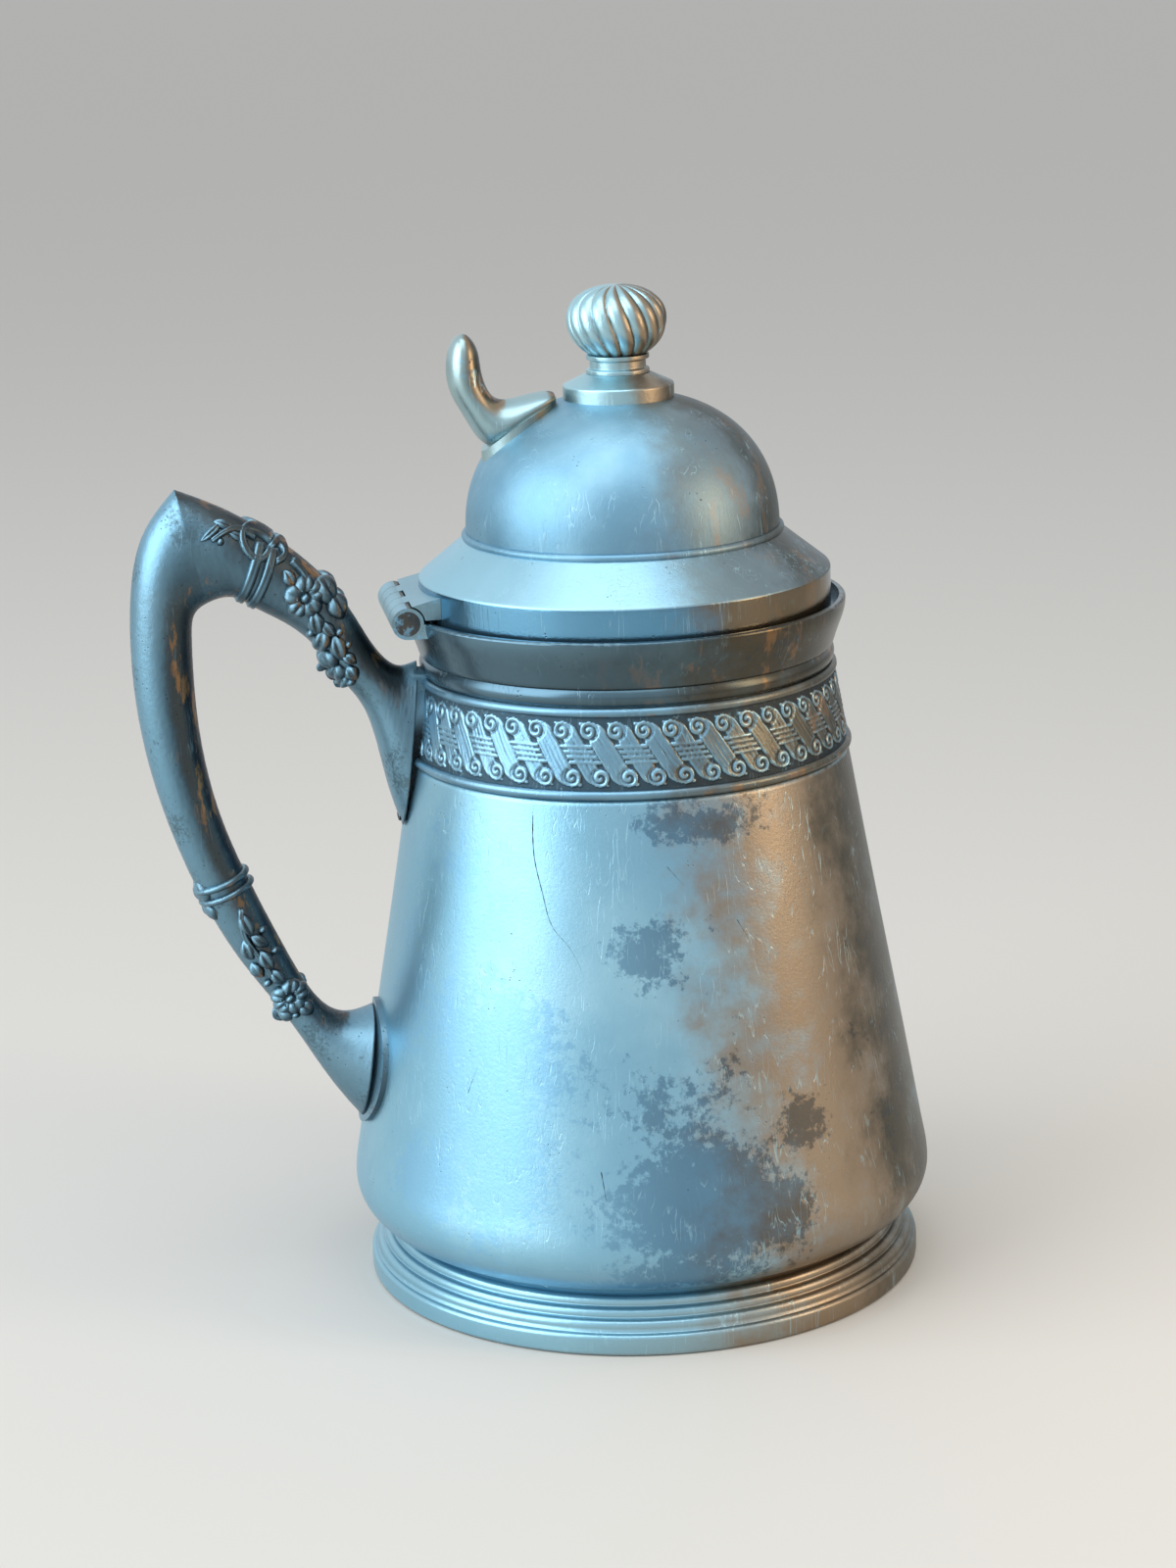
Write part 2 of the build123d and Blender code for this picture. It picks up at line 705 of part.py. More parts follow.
# Upper seat: the solder that fills the hollow between the handle's head and the frieze.
with BuildPart() as handle_upper_seat:
    seat_long = Vector(seat_top[0] - seat_low[0], 0, seat_top[1] - seat_low[1])
    share = solder_inset / seat_long.length
    low = (seat_low[0] + seat_long.X * share + solder_play, seat_low[1] + seat_long.Z * share)
    top = (seat_top[0] - seat_long.X * share + solder_play, seat_top[1] - seat_long.Z * share)
    seat_face = oval(low, top, seat_half - solder_inset, seat_taper, 6)
    extrude(seat_face, amount=-solder_reach)
    add(body_core.part, mode=Mode.SUBTRACT)
    for wire in wires:
        add(wire, mode=Mode.SUBTRACT)
    add(rim_collar.part, mode=Mode.SUBTRACT)
handle_upper_seat.part.label = "handle_upper_seat"

os.makedirs("parts", exist_ok=True)
made = [
    body_shell, base_disc, foot_ring, frieze_band, rim_collar, handle, handle_upper_seat,
    handle_lower_plate, hinge_body_leaf, hinge_pin, hinge_lid_leaf, lid_skirt, lid_bead, lid_dome,
    thumb_lift, thumb_lift_plate, finial_plate, finial_neck, finial_knob, finial_stud, finial_washer,
    finial_nut,
]
for shape in [piece.part for piece in made] + wires:
    export_step(shape, f"parts/{shape.label}.step")
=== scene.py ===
import math

import bmesh
import bpy
import numpy as np
from mathutils import Matrix, Vector


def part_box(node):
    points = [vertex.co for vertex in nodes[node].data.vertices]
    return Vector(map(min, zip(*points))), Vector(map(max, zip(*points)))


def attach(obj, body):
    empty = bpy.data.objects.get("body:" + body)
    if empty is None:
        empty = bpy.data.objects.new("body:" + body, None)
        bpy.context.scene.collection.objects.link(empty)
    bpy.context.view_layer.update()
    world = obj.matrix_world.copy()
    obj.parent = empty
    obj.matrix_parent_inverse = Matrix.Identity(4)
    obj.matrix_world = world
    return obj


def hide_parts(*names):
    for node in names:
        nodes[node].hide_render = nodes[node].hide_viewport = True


# Worn silver-plated syrup pitcher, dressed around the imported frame.
# Shapes below are worked out in millimetres and go into the meshes in metres.

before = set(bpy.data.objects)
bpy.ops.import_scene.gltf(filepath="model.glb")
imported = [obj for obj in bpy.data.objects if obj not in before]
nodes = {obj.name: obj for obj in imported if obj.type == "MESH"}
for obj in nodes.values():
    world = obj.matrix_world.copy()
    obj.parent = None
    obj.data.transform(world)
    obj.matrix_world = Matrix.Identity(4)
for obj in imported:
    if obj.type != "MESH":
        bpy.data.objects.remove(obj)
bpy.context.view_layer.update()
mm = 0.001


def boxOf(node):
    low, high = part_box(node)
    return np.array(low) / mm, np.array(high) / mm


def srgb(red, green, blue):
    # screen colour 0 to 255 as the linear colour that a socket takes
    c = np.array([red, green, blue]) / 255
    linear = np.where(c <= 0.04045, c / 12.92, ((c + 0.055) / 1.055) ** 2.4)
    return (*linear.tolist(), 1.0)


def inScene(name, data):
    thing = bpy.data.objects.new(name, data)
    bpy.context.scene.collection.objects.link(thing)
    return thing


# Meshes from grids

def circle(count):
    return np.linspace(0, 2 * np.pi, count, endpoint=False)


def turned(r, turn, z):
    # point at radius r, angle turn and height z: x = r cos turn, y = r sin turn
    return np.stack(np.broadcast_arrays(r * np.cos(turn), r * np.sin(turn), z), axis=-1)


def gridFaces(rows, columns, wrapRows):
    # one square between each grid point and the next: the columns always close into a ring
    r = np.arange(rows if wrapRows else rows - 1)[:, None]
    c = np.arange(columns)[None, :]
    r2, c2 = (r + 1) % rows, (c + 1) % columns
    corner = [r * columns + c, r * columns + c2, r2 * columns + c2, r2 * columns + c]
    return np.stack(corner, axis=-1).reshape(-1, 4)


def volumeOf(points, faces):
    # signed volume: a sixth of the sum of corner a dot (b cross c) over the triangles
    a, b, c, d = (points[faces[:, k]] for k in range(4))
    return (np.einsum("ij,ij->i", a, np.cross(b, c)) + np.einsum("ij,ij->i", a, np.cross(c, d))).sum() / 6


def curvature(points, faces, reach):
    # how much a point stands out from its neighbours, along its normal, in shares of reach
    a, b, c, d = (points[faces[:, k]] for k in range(4))
    normal = np.cross(c - a, d - b)
    normals = np.zeros_like(points)
    total = np.zeros_like(points)
    count = np.zeros(len(points))
    for k in range(4):
        np.add.at(normals, faces[:, k], normal)
        for other in ((k + 1) % 4, (k + 3) % 4):
            np.add.at(total, faces[:, k], points[faces[:, other]])
            np.add.at(count, faces[:, k], 1)
    normals /= np.maximum(np.linalg.norm(normals, axis=1, keepdims=True), 1e-9)
    gap = points - total / np.maximum(count, 1)[:, None]
    step = np.sqrt(np.maximum(np.einsum("ij,ij->i", a - c, a - c).mean() / 2, 1e-9))
    return np.clip(np.einsum("ij,ij->i", gap, normals) * reach / step ** 2, -1, 1)


def setPoints(mesh, name, values):
    # one number for each point, for the materials to read
    layer = mesh.attributes.new(name, "FLOAT", "POINT")
    layer.data.foreach_set("value", values.astype(np.float32))


def addPiece(name, grids, body, slotName, material, replaced=(), bend=None, reach=1.0, wrapRows=False):
    # joins point grids (rows x columns x 3) into one closed mesh that faces outwards; bend is how far
    # each point stands out, worked out with reach where it isn't given
    points, faces, start = [], [], 0
    for grid in grids:
        flat = grid.reshape(-1, 3)
        squares = gridFaces(*grid.shape[:2], wrapRows)
        if volumeOf(flat, squares) < 0:
            squares = squares[:, ::-1]
        points.append(flat)
        faces.append(squares + start)
        start += len(flat)
    points, faces = np.concatenate(points), np.concatenate(faces)
    mesh = bpy.data.meshes.new(name)
    mesh.from_pydata((points * mm).tolist(), [], faces.tolist())
    setPoints(mesh, "bend", curvature(points, faces, reach) if bend is None else bend.ravel())
    work = bmesh.new()
    work.from_mesh(mesh)
    bmesh.ops.remove_doubles(work, verts=work.verts, dist=1e-7)
    bmesh.ops.dissolve_degenerate(work, dist=1e-8, edges=work.edges)
    work.to_mesh(mesh)
    work.free()
    mesh.polygons.foreach_set("use_smooth", np.ones(len(mesh.polygons), bool))
    mesh.materials.append(material)
    piece = inScene(name, mesh)
    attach(piece, body)
    if replaced:
        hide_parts(*replaced)
    print(name, len(mesh.polygons), "faces")
    return piece


def outlined(corners, step=0.8):
    # closed outline through corners (r, z, round): each corner is cut back and bridged by an arc
    # that touches both sides, and straight runs get points no further apart than step
    line = []
    count = len(corners)
    for k, (r, z, rounding) in enumerate(corners):
        here = np.array([r, z])
        back = np.array(corners[k - 1][:2]) - here
        ahead = np.array(corners[(k + 1) % count][:2]) - here
        backLong, aheadLong = np.linalg.norm(back), np.linalg.norm(ahead)
        back, ahead = back / backLong, ahead / aheadLong
        half = math.acos(float(np.clip(back @ ahead, -1, 1))) / 2
        cut = min(rounding / max(math.tan(half), 1e-6), 0.49 * backLong, 0.49 * aheadLong)
        if cut < 1e-4:
            line.append(here[None])
            continue
        t = np.linspace(0, 1, 7)[:, None]
        start, end = here + back * cut, here + ahead * cut
        line.append((1 - t) ** 2 * start + 2 * t * (1 - t) * here + t ** 2 * end)
    line = np.concatenate(line)
    following = np.roll(line, -1, axis=0)
    parts = [
        a + (b - a) * np.linspace(0, 1, max(int(np.linalg.norm(b - a) / step), 1), endpoint=False)[:, None]
        for a, b in zip(line, following)
    ]
    return np.concatenate(parts)


def arc(r, z, radius, turn):
    # part of a circle about (r, z)
    return np.stack([r + radius * np.cos(turn), z + radius * np.sin(turn)], axis=1)


def bulge(start, end, rise, count):
    # shallow arc from start to end: the straight line, pushed out by rise 4 t (1 - t)
    along = end - start
    out = np.array([along[1], -along[0]]) / np.linalg.norm(along)
    t = np.linspace(0, 1, count)[:, None]
    return start + along * t + out * rise * 4 * t * (1 - t)


def straight(start, end, step=1.0):
    # points from start to just before end
    count = max(int(math.dist(start, end) / step), 1)
    start, end = np.array(start), np.array(end)
    return start + (end - start) * np.linspace(0, 1, count, endpoint=False)[:, None]


def chain(corners, step=1.0):
    return np.concatenate([straight(p, q, step) for p, q in zip(corners, corners[1:])])


def splineThrough(knots, values, at):
    # natural cubic through the values: the second derivatives solve the usual banded equations
    knots, values = np.asarray(knots, float), np.asarray(values, float)
    n = len(knots)
    gap = np.diff(knots)
    rise = np.diff(values, axis=0) / gap[:, None]
    band, right = np.eye(n), np.zeros_like(values)
    for k in range(1, n - 1):
        band[k, k - 1:k + 2] = gap[k - 1], 2 * (gap[k - 1] + gap[k]), gap[k]
        right[k] = 6 * (rise[k] - rise[k - 1])
    bent = np.linalg.solve(band, right)
    k = np.clip(np.searchsorted(knots, at) - 1, 0, n - 2)
    h = gap[k][:, None]
    a, b = (knots[k + 1] - at)[:, None] / h, (at - knots[k])[:, None] / h
    cubic = ((a ** 3 - a) * bent[k] + (b ** 3 - b) * bent[k + 1]) * h ** 2 / 6
    return a * values[k] + b * values[k + 1] + cubic


def lengthsAlong(points, extra=0.0):
    # length from the first point to each, with extra added for every point passed
    steps = np.linalg.norm(np.diff(points, axis=0), axis=1)
    return np.concatenate([[0], np.cumsum(steps + extra)])


def smoothLine(points, count):
    # even points on the spline through the given ones, after the length at which each lies
    points = np.array(points, float)
    knots = lengthsAlong(points)
    at = np.linspace(0, knots[-1], count)
    return at, splineThrough(knots, points, at)


def capped(grid):
    # closes both ends of an arm with a row drawn together at the section's middle
    ends = [np.repeat(grid[k].mean(axis=0)[None, None], grid.shape[1], axis=1) for k in (0, -1)]
    return np.concatenate([ends[0], grid, ends[1]])


def softNoise(turn, z, seed, height):
    # a sum of slow waves round the axis and up it
    rng = np.random.default_rng(seed)
    total = 0
    for wave in range(1, 8):
        shift, lean = rng.uniform(0, 2 * np.pi), rng.uniform(-0.12, 0.12)
        total = total + np.sin(wave * turn + z * lean + shift) / wave
    return total * height


def dents(seed, height, waves=1):
    # soft noise that repeats waves times round the axis
    return lambda turn, z: softNoise(turn * waves, z, seed, height)


def addSpun(name, profile, count, dent, *given, **more):
    # a profile (r, z) turned about the axis, with r moved by dent(turn, z) except close to the axis
    r, z, turn = profile[:, :1], profile[:, 1:], circle(count)[None, :]
    grid = turned(r + dent(turn, z) * (r > 1), turn, z)
    return addPiece(name, [grid], *given, wrapRows=True, **more)


# Shader helpers: each adds its node to the tree that the sockets given to it belong to

def isSocket(value):
    return isinstance(value, bpy.types.NodeSocket)


def feed(socket, value):
    # a socket is linked, and anything else is set on the input
    if isSocket(value):
        socket.id_data.links.new(value, socket)
    else:
        socket.default_value = value


def put(tree, kind, **values):
    node = tree.nodes.new(kind)
    for name, value in values.items():
        feed(node.inputs[name.replace("_", " ")], value)
    return node


def operate(kind, operation, *values):
    tree = next(value for value in values if isSocket(value)).id_data
    node = tree.nodes.new(kind)
    node.operation = operation
    for socket, value in zip(node.inputs, values):
        feed(socket, value)
    return node.outputs


def calc(operation, *values):
    return operate("ShaderNodeMath", operation, *values)[0]


def plus(first, second):
    return calc("ADD", first, second)


def minus(first, second):
    return calc("SUBTRACT", first, second)


def times(first, second):
    return calc("MULTIPLY", first, second)


def inverse(value):
    return minus(1.0, value)


def swing(value, amount):
    # noise moved to lie about zero: (value - 0.5) amount
    return times(minus(value, 0.5), amount)


def towards(direction, way):
    # how far a direction points the given way, as a dot product
    return operate("ShaderNodeVectorMath", "DOT_PRODUCT", direction, way)["Value"]


def between(value, low, high):
    # smooth step: 0 below low and 1 above high
    node = put(value.id_data, "ShaderNodeMapRange", Value=value, From_Min=low, From_Max=high)
    node.interpolation_type = "SMOOTHSTEP"
    return node.outputs[0]


def mixed(share, first, second):
    node = share.id_data.nodes.new("ShaderNodeMix")
    node.data_type = "RGBA"
    for index, value in ((0, share), (6, first), (7, second)):
        feed(node.inputs[index], value)
    return node.outputs[2]


def over(colour, mask, amount, top):
    # a colour laid over another where the mask lets it
    return mixed(times(mask, amount), colour, top)


def noise(place, scale, detail=4.0, rough=0.55):
    node = put(place.id_data, "ShaderNodeTexNoise", Vector=place, Scale=scale, Detail=detail, Roughness=rough)
    return node.outputs[0]


def stretched(place, turn, scale):
    return put(place.id_data, "ShaderNodeMapping", Vector=place, Rotation=turn, Scale=scale).outputs[0]


def pointValue(tree, name):
    node = tree.nodes.new("ShaderNodeAttribute")
    node.attribute_name = name
    return node.outputs["Fac"]


def newGroup(name, inputs, outputs):
    # Place and Facing are vectors, and every other socket is a number
    group = bpy.data.node_groups.new(name, "ShaderNodeTree")
    for way, labels in (("INPUT", inputs), ("OUTPUT", outputs)):
        for label in labels:
            kind = "NodeSocketVector" if label in ("Place", "Facing") else "NodeSocketFloat"
            group.interface.new_socket(name=label, in_out=way, socket_type=kind)
    return group, group.nodes.new("NodeGroupInput").outputs, group.nodes.new("NodeGroupOutput").inputs


def makeRaggedPatches():
    # large soft noise plus a fine one, cut off at a level: patches with torn edges
    group, given, out = newGroup("raggedPatches", ["Place", "Scale", "Bias"], ["Mask"])
    large = noise(given["Place"], given["Scale"], 3.0, 0.5)
    small = noise(given["Place"], times(given["Scale"], 13.0), 6.0, 0.7)
    level = plus(plus(large, given["Bias"]), swing(small, 0.95))
    feed(out["Mask"], between(level, 0.6, 0.72))
    return group


def makeFineScratches():
    # thin contour lines of noise drawn out along three leaning directions, broken by a second noise
    group, given, out = newGroup("fineScratches", ["Place", "Scale"], ["Mask"])
    total = 0.0
    for lean, coarse in (((0.3, 0.25, 0.2), 0.16), ((-0.5, -0.35, 0.9), 0.2025), ((0.1, 0.75, 2.1), 0.2375)):
        long = stretched(given["Place"], lean, (1.0, 1.0, 0.03))
        edge = calc("ABSOLUTE", minus(noise(long, given["Scale"], 1.0, 0.4), 0.5))
        breaks = noise(given["Place"], times(given["Scale"], coarse))
        line = times(inverse(between(edge, 0.0, 0.02)), between(breaks, 0.54, 0.66))
        total = calc("MAXIMUM", total, line)
    feed(out["Mask"], total)
    return group


def makePitting():
    # round pits where a cell noise is near its middles and a slow noise lets them
    group, given, out = newGroup("pitting", ["Place", "Scale", "Amount"], ["Pits", "Grain"])
    place, scale = given["Place"], given["Scale"]
    cells = put(group, "ShaderNodeTexVoronoi", Vector=place, Scale=scale)
    hole = inverse(between(cells.outputs["Distance"], 0.05, 0.22))
    limit = minus(0.75, times(given["Amount"], 0.3))
    let = between(noise(place, times(scale, 0.23), 2.0), limit, plus(limit, 0.06))
    feed(out["Pits"], times(hole, let))
    feed(out["Grain"], noise(place, times(scale, 1.6), 5.0, 0.6))
    return group


def makeEdgeWearAndGrooveShade():
    # the mesh's own bend: high on crests and edges, low in grooves, roughened by noise; Groove is where shade
    # is painted into the hollows
    group, given, out = newGroup("edgeWearAndGrooveShade", ["Place", "Scale"], ["Crest", "Groove"])
    bend = pointValue(group, "bend")
    uneven = swing(noise(given["Place"], given["Scale"]), 0.7)
    feed(out["Crest"], between(plus(bend, uneven), 0.08, 0.5))
    feed(out["Groove"], between(minus(uneven, bend), 0.08, 0.5))
    return group


tarnishAndShadeSides = {
    # middle of the side in degrees, seen from above, and the levels from none to full; Brown is tarnish with a
    # painted warm reflection, Dark is painted shade
    "Brown": (-46, 0.68, 0.98),
    "Dark": (-10, 0.72, 0.98),
}


def makeTarnishAndShadeSide():
    # dot product of the facing, laid level, with the middle of each side, torn at its border by noise: colour
    # by the way a side faces, which paints light and shade
    group, given, out = newGroup("tarnishAndShadeSide", ["Place", "Facing", "Scale"], list(tarnishAndShadeSides))
    level = operate("ShaderNodeVectorMath", "MULTIPLY", given["Facing"], (1, 1, 0))[0]
    outward = operate("ShaderNodeVectorMath", "NORMALIZE", level)[0]
    torn = swing(noise(given["Place"], given["Scale"], 6, 0.65), 0.55)
    for label, (side, low, high) in tarnishAndShadeSides.items():
        way = (math.cos(math.radians(side)), math.sin(math.radians(side)), 0)
        feed(out[label], between(plus(towards(outward, way), torn), low, high))
    return group


groups = {
    "patches": makeRaggedPatches(), "scratches": makeFineScratches(), "pits": makePitting(),
    "wear": makeEdgeWearAndGrooveShade(), "side": makeTarnishAndShadeSide(),
}


def useGroup(key, **values):
    node = values["Place"].id_data.nodes.new("ShaderNodeGroup")
    node.node_tree = groups[key]
    for name, value in values.items():
        feed(node.inputs[name], value)
    return node.outputs


plate = {
    # screen colours: silver is the lit colour and shade its painted-shade copy
    "silver": (142, 196, 220), "shade": (130, 170, 193), "paler": (178, 220, 234), "patch": (78, 116, 144),
    "leftPatch": (138, 194, 226), "shadedPatch": (62, 66, 68), "brown": (146, 122, 94), "dark": (54, 57, 50),
    "grime": (26, 28, 28), "gold": (158, 116, 74), "aboveColour": (120, 158, 176),
    # scales of the patterns
    "patchScale": 45.0, "pitScale": 1100.0, "scratchScale": 700.0, "wearScale": 500.0, "sideScale": 90.0,
    # how much of each
    "patchBias": -0.08, "pits": 0.45, "scratches": 0.38, "grain": 0.5, "brownShare": 0.9, "darkShare": 0.85,
    "wear": 0.4, "groove": 0.8, "goldShare": 0.0, "roughness": 0.36,
    # patches placed by the mesh, an upright wall that is polished and painted with a reflection, and a paler
    # part above a height in metres
    "placed": False, "polishedWall": False, "paleAbove": None,
}
paintedLightWay = (-0.8, -0.35, 0.48)   # outward direction of the side that is painted lit, towards the window lamp


def silverPlate(name, **changes):
    # one worn plate: silver painted lit towards the window lamp and shaded away from it, blue-grey patches, a
    # brown side of tarnish and painted warm reflection, a dark side of painted shade, dirt and painted shade in
    # the grooves, bright crests
    look = {**plate, **changes}
    look.update({key: srgb(*value) for key, value in look.items() if isinstance(value, tuple)})
    material = bpy.data.materials.new(name)
    material.use_nodes = True
    tree = material.node_tree
    tree.nodes.clear()
    spot = tree.nodes.new("ShaderNodeTexCoord").outputs
    place, normal = spot["Object"], spot["Normal"]
    axes = put(tree, "ShaderNodeSeparateXYZ", Vector=place).outputs
    bias = look["patchBias"]
    if look["placed"]:
        bias = plus(times(pointValue(tree, "patch"), 0.42), bias)
    patch = useGroup("patches", Place=place, Scale=look["patchScale"], Bias=bias)["Mask"]
    side = useGroup("side", Place=place, Facing=normal, Scale=look["sideScale"])
    scratch = useGroup("scratches", Place=place, Scale=look["scratchScale"])["Mask"]
    pits = useGroup("pits", Place=place, Scale=look["pitScale"], Amount=look["pits"])
    wear = useGroup("wear", Place=place, Scale=look["wearScale"])
    cloud = noise(place, 30.0, 5.0, 0.6)
    # painted light and shade: the silver colour where the surface faces the window lamp, the shade colour where
    # it faces away
    window = towards(normal, paintedLightWay)
    colour = mixed(between(window, 0.1, 0.9), look["shade"], look["silver"])
    colour = over(colour, between(cloud, 0.4, 0.75), 0.5, look["paler"])
    # brown side: tarnish with a painted warm reflection; dark side: painted shade
    colour = over(colour, side["Brown"], look["brownShare"], look["brown"])
    colour = over(colour, side["Dark"], look["darkShare"], look["dark"])
    # patches: a paler copy on the lit left side and a darker copy on the brown side, as painted light and shade
    spots = mixed(between(axes["X"], -0.03, 0.0), look["leftPatch"], look["patch"])
    colour = over(colour, patch, 0.7, mixed(side["Brown"], spots, look["shadedPatch"]))
    rough = plus(look["roughness"], swing(cloud, 0.2))
    rough = plus(rough, times(wear["Groove"], 0.25))
    rough = minus(rough, times(wear["Crest"], 0.06))
    if look["polishedWall"]:
        up = put(tree, "ShaderNodeSeparateXYZ", Vector=normal).outputs["Z"]
        wall = inverse(between(calc("ABSOLUTE", up), 0.1, 0.3))
        # the wall's colour is a painted reflection: cool on most of it and warm brown on the brown side
        colour = over(colour, wall, 0.75, mixed(side["Brown"], look["wall"], look["wallBrown"]))
        rough = minus(rough, times(wall, 0.22))
    if look["paleAbove"]:
        high = between(axes["Z"], look["paleAbove"], look["paleAbove"] + 0.006)
        colour = mixed(high, colour, look["aboveColour"])
    if look["goldShare"]:
        # gold streaks only on the side away from the window lamp: worn plating with a painted warm reflection
        wearAndGlintStreaks = between(noise(stretched(place, (0, 0, 0), (1, 1, 0.3)), 260.0, 5.0, 0.65), 0.55, 0.63)
        shaded = inverse(between(window, -0.1, 0.5))
        colour = over(colour, times(wearAndGlintStreaks, shaded), look["goldShare"], look["gold"])
    # grooves darkened: dirt with painted shade in the hollows
    colour = over(colour, wear["Groove"], look["groove"], look["grime"])
    colour = over(colour, wear["Crest"], look["wear"], look["paler"])
    colour = over(colour, pits["Pits"], 0.7, look["grime"])
    colour = over(colour, scratch, look["scratches"], look["paler"])
    height = minus(times(pits["Grain"], look["grain"]), pits["Pits"])
    height = minus(height, times(scratch, 0.4))
    bump = put(tree, "ShaderNodeBump", Height=height, Strength=0.35, Distance=0.0002)
    shader = put(tree, "ShaderNodeBsdfPrincipled", Base_Color=colour, Roughness=rough, Metallic=0.92,
                 Normal=bump.outputs[0])
    put(tree, "ShaderNodeOutputMaterial", Surface=shader.outputs[0])
    return material


bodyPlate = silverPlate("bodyPlate", placed=True)
footPlate = silverPlate("footPlate", patchBias=-0.12, roughness=0.32, groove=0.75, pits=0.2, darkShare=0.7,
                        silver=(150, 200, 220), shade=(146, 166, 172))
friezePlate = silverPlate("friezePlate", patchBias=-0.2, wear=0.45, pits=0.1, roughness=0.34,
                          shade=(98, 126, 142), silver=(124, 170, 196), paler=(156, 196, 212),
                          grime=(38, 48, 56), goldShare=0.5, brown=(104, 92, 72))
rimPlate = silverPlate("rimPlate", patchBias=-0.05, roughness=0.25, silver=(92, 122, 138), shade=(62, 74, 78),
                       paler=(110, 138, 150), brown=(74, 66, 52), patch=(40, 48, 52), grain=0.05,
                       goldShare=0.35)
# on the lid the brown side is a painted warm highlight and the dark side is painted shade
lidLook = {"patchBias": -0.16, "grain": 0.45, "brownShare": 0.6,
           "shade": (118, 158, 184), "brown": (116, 110, 92), "goldShare": 0.25}
lidPlate = silverPlate("lidPlate", roughness=0.46, silver=(118, 164, 188), **lidLook)
skirtPlate = silverPlate("skirtPlate", roughness=0.4, silver=(160, 206, 224), polishedWall=True,
                         wall=(84, 148, 186), wallBrown=(124, 100, 64), **lidLook)
castPlate = silverPlate("castPlate", patchBias=0.02, pits=0.85, grain=0.8, roughness=0.38,
                        silver=(126, 170, 192), shade=(60, 84, 98), paler=(120, 148, 160), patch=(44, 62, 74),
                        leftPatch=(84, 108, 120), brown=(66, 70, 70), dark=(26, 40, 50), groove=0.9,
                        goldShare=0.7, wear=0.55, darkShare=0.95, patchScale=110.0)
liftPlate = silverPlate("liftPlate", patchBias=-0.1, pits=0.4, grain=0.3, roughness=0.32, goldShare=0.7,
                        silver=(166, 192, 194), shade=(104, 122, 124), darkShare=0.95, dark=(40, 46, 46))
knobPlate = silverPlate("knobPlate", patchBias=-0.2, pits=0.3, roughness=0.34, groove=0.95, wear=0.6,
                        silver=(172, 212, 222), shade=(154, 186, 196), goldShare=0.3)
hingePlate = silverPlate("hingePlate", patchBias=-0.05, roughness=0.4, silver=(150, 192, 208),
                         shade=(100, 130, 144), pits=0.5)
pinPlate = silverPlate("pinPlate", roughness=0.4, silver=(72, 90, 100), shade=(44, 54, 60),
                       paler=(84, 100, 108), pits=0.6)
innerPlate = silverPlate("innerPlate", roughness=0.5, silver=(134, 148, 152), shade=(116, 126, 130),
                         paler=(150, 162, 166), brownShare=0.4, darkShare=0.3)
darkSolder = silverPlate("darkSolder", roughness=0.6, silver=(58, 74, 84), shade=(34, 40, 44),
                         paler=(96, 116, 126), patch=(12, 12, 14), leftPatch=(14, 16, 18), brown=(26, 24, 22),
                         dark=(16, 16, 16), pits=1.0, pitScale=1500.0, grain=1.0, patchBias=0.08,
                         patchScale=140.0, paleAbove=0.101)
print("materials made")


# Body: straight cone on a rounded belly, its lower edge turned in over the foot

body = {
    "wall": 1.1, "bottomR": 43.8, "bellyR": 52.0, "bellyZ": 18.2, "sideZ": 25.0, "sideR": 51.0,
    "shoulderZ": 95.0, "taper": math.radians(10), "drainR": 40.0, "bandT": 0.7, "neckZ": 110.6,
    "neckH": 2.8, "dent": 0.09,
}
floorZ = boxOf("body_shell")[0][2]
slope = math.tan(body["taper"])


def sideR(z):
    # radius of the straight side: it shrinks by the taper's tangent for each millimetre up
    return body["sideR"] - (z - body["sideZ"]) * slope


def bellyLine(inset):
    # quarter ellipse under the belly, then a cubic with the side's own slope at its end
    b = body
    turn = np.linspace(-np.pi / 2, 0, 28)
    wide, tall = b["bellyR"] - b["bottomR"] - inset, b["bellyZ"] - floorZ - inset
    under = np.stack([b["bottomR"] + wide * np.cos(turn), b["bellyZ"] + tall * np.sin(turn)], axis=1)
    t = np.linspace(0, 1, 14)[1:, None]
    start = np.array([b["bellyR"] - inset, b["bellyZ"]])
    end = np.array([sideR(b["sideZ"]) - inset, b["sideZ"]])
    lead = b["sideZ"] - b["bellyZ"]
    go, come = np.array([0, lead]), np.array([-slope * lead, lead])
    curve = ((2 * t ** 3 - 3 * t ** 2 + 1) * start + (t ** 3 - 2 * t ** 2 + t) * go
             + (3 * t ** 2 - 2 * t ** 3) * end + (t ** 3 - t ** 2) * come)
    return np.concatenate([under, curve])


def bodyDent(turn, z):
    # slow dents that die out towards the foot and the frieze
    return softNoise(turn, z, 4, body["dent"]) * np.clip((z - 14) / 20, 0, 1) * np.clip((94 - z) / 10, 0, 1)


def buildBody():
    b, wall, bandT = body, body["wall"], body["bandT"]
    sideLow, shoulderR, neckR = sideR(b["sideZ"]), sideR(b["shoulderZ"]), sideR(b["neckZ"]) - bandT
    top = b["neckZ"] + b["neckH"]
    corners = [
        (sideLow, b["sideZ"]), (shoulderR, b["shoulderZ"]), (shoulderR - bandT, b["shoulderZ"]),
        (neckR, b["neckZ"]), (neckR, top), (neckR - wall, top), (neckR - wall, b["neckZ"]),
        (shoulderR - bandT - wall, b["shoulderZ"]), (sideLow - wall, b["sideZ"]),
    ]
    profile = np.concatenate([
        straight((b["drainR"], floorZ), (b["bottomR"], floorZ)), bellyLine(0)[:-1], chain(corners, 0.9),
        bellyLine(wall)[::-1], straight((b["bottomR"], floorZ + wall), (b["drainR"], floorZ + wall)),
    ])
    shell = addSpun("pitcherBody", profile, 320, bodyDent, "pitcher", "body_plate", bodyPlate, ["body_shell"])
    addFields(shell)


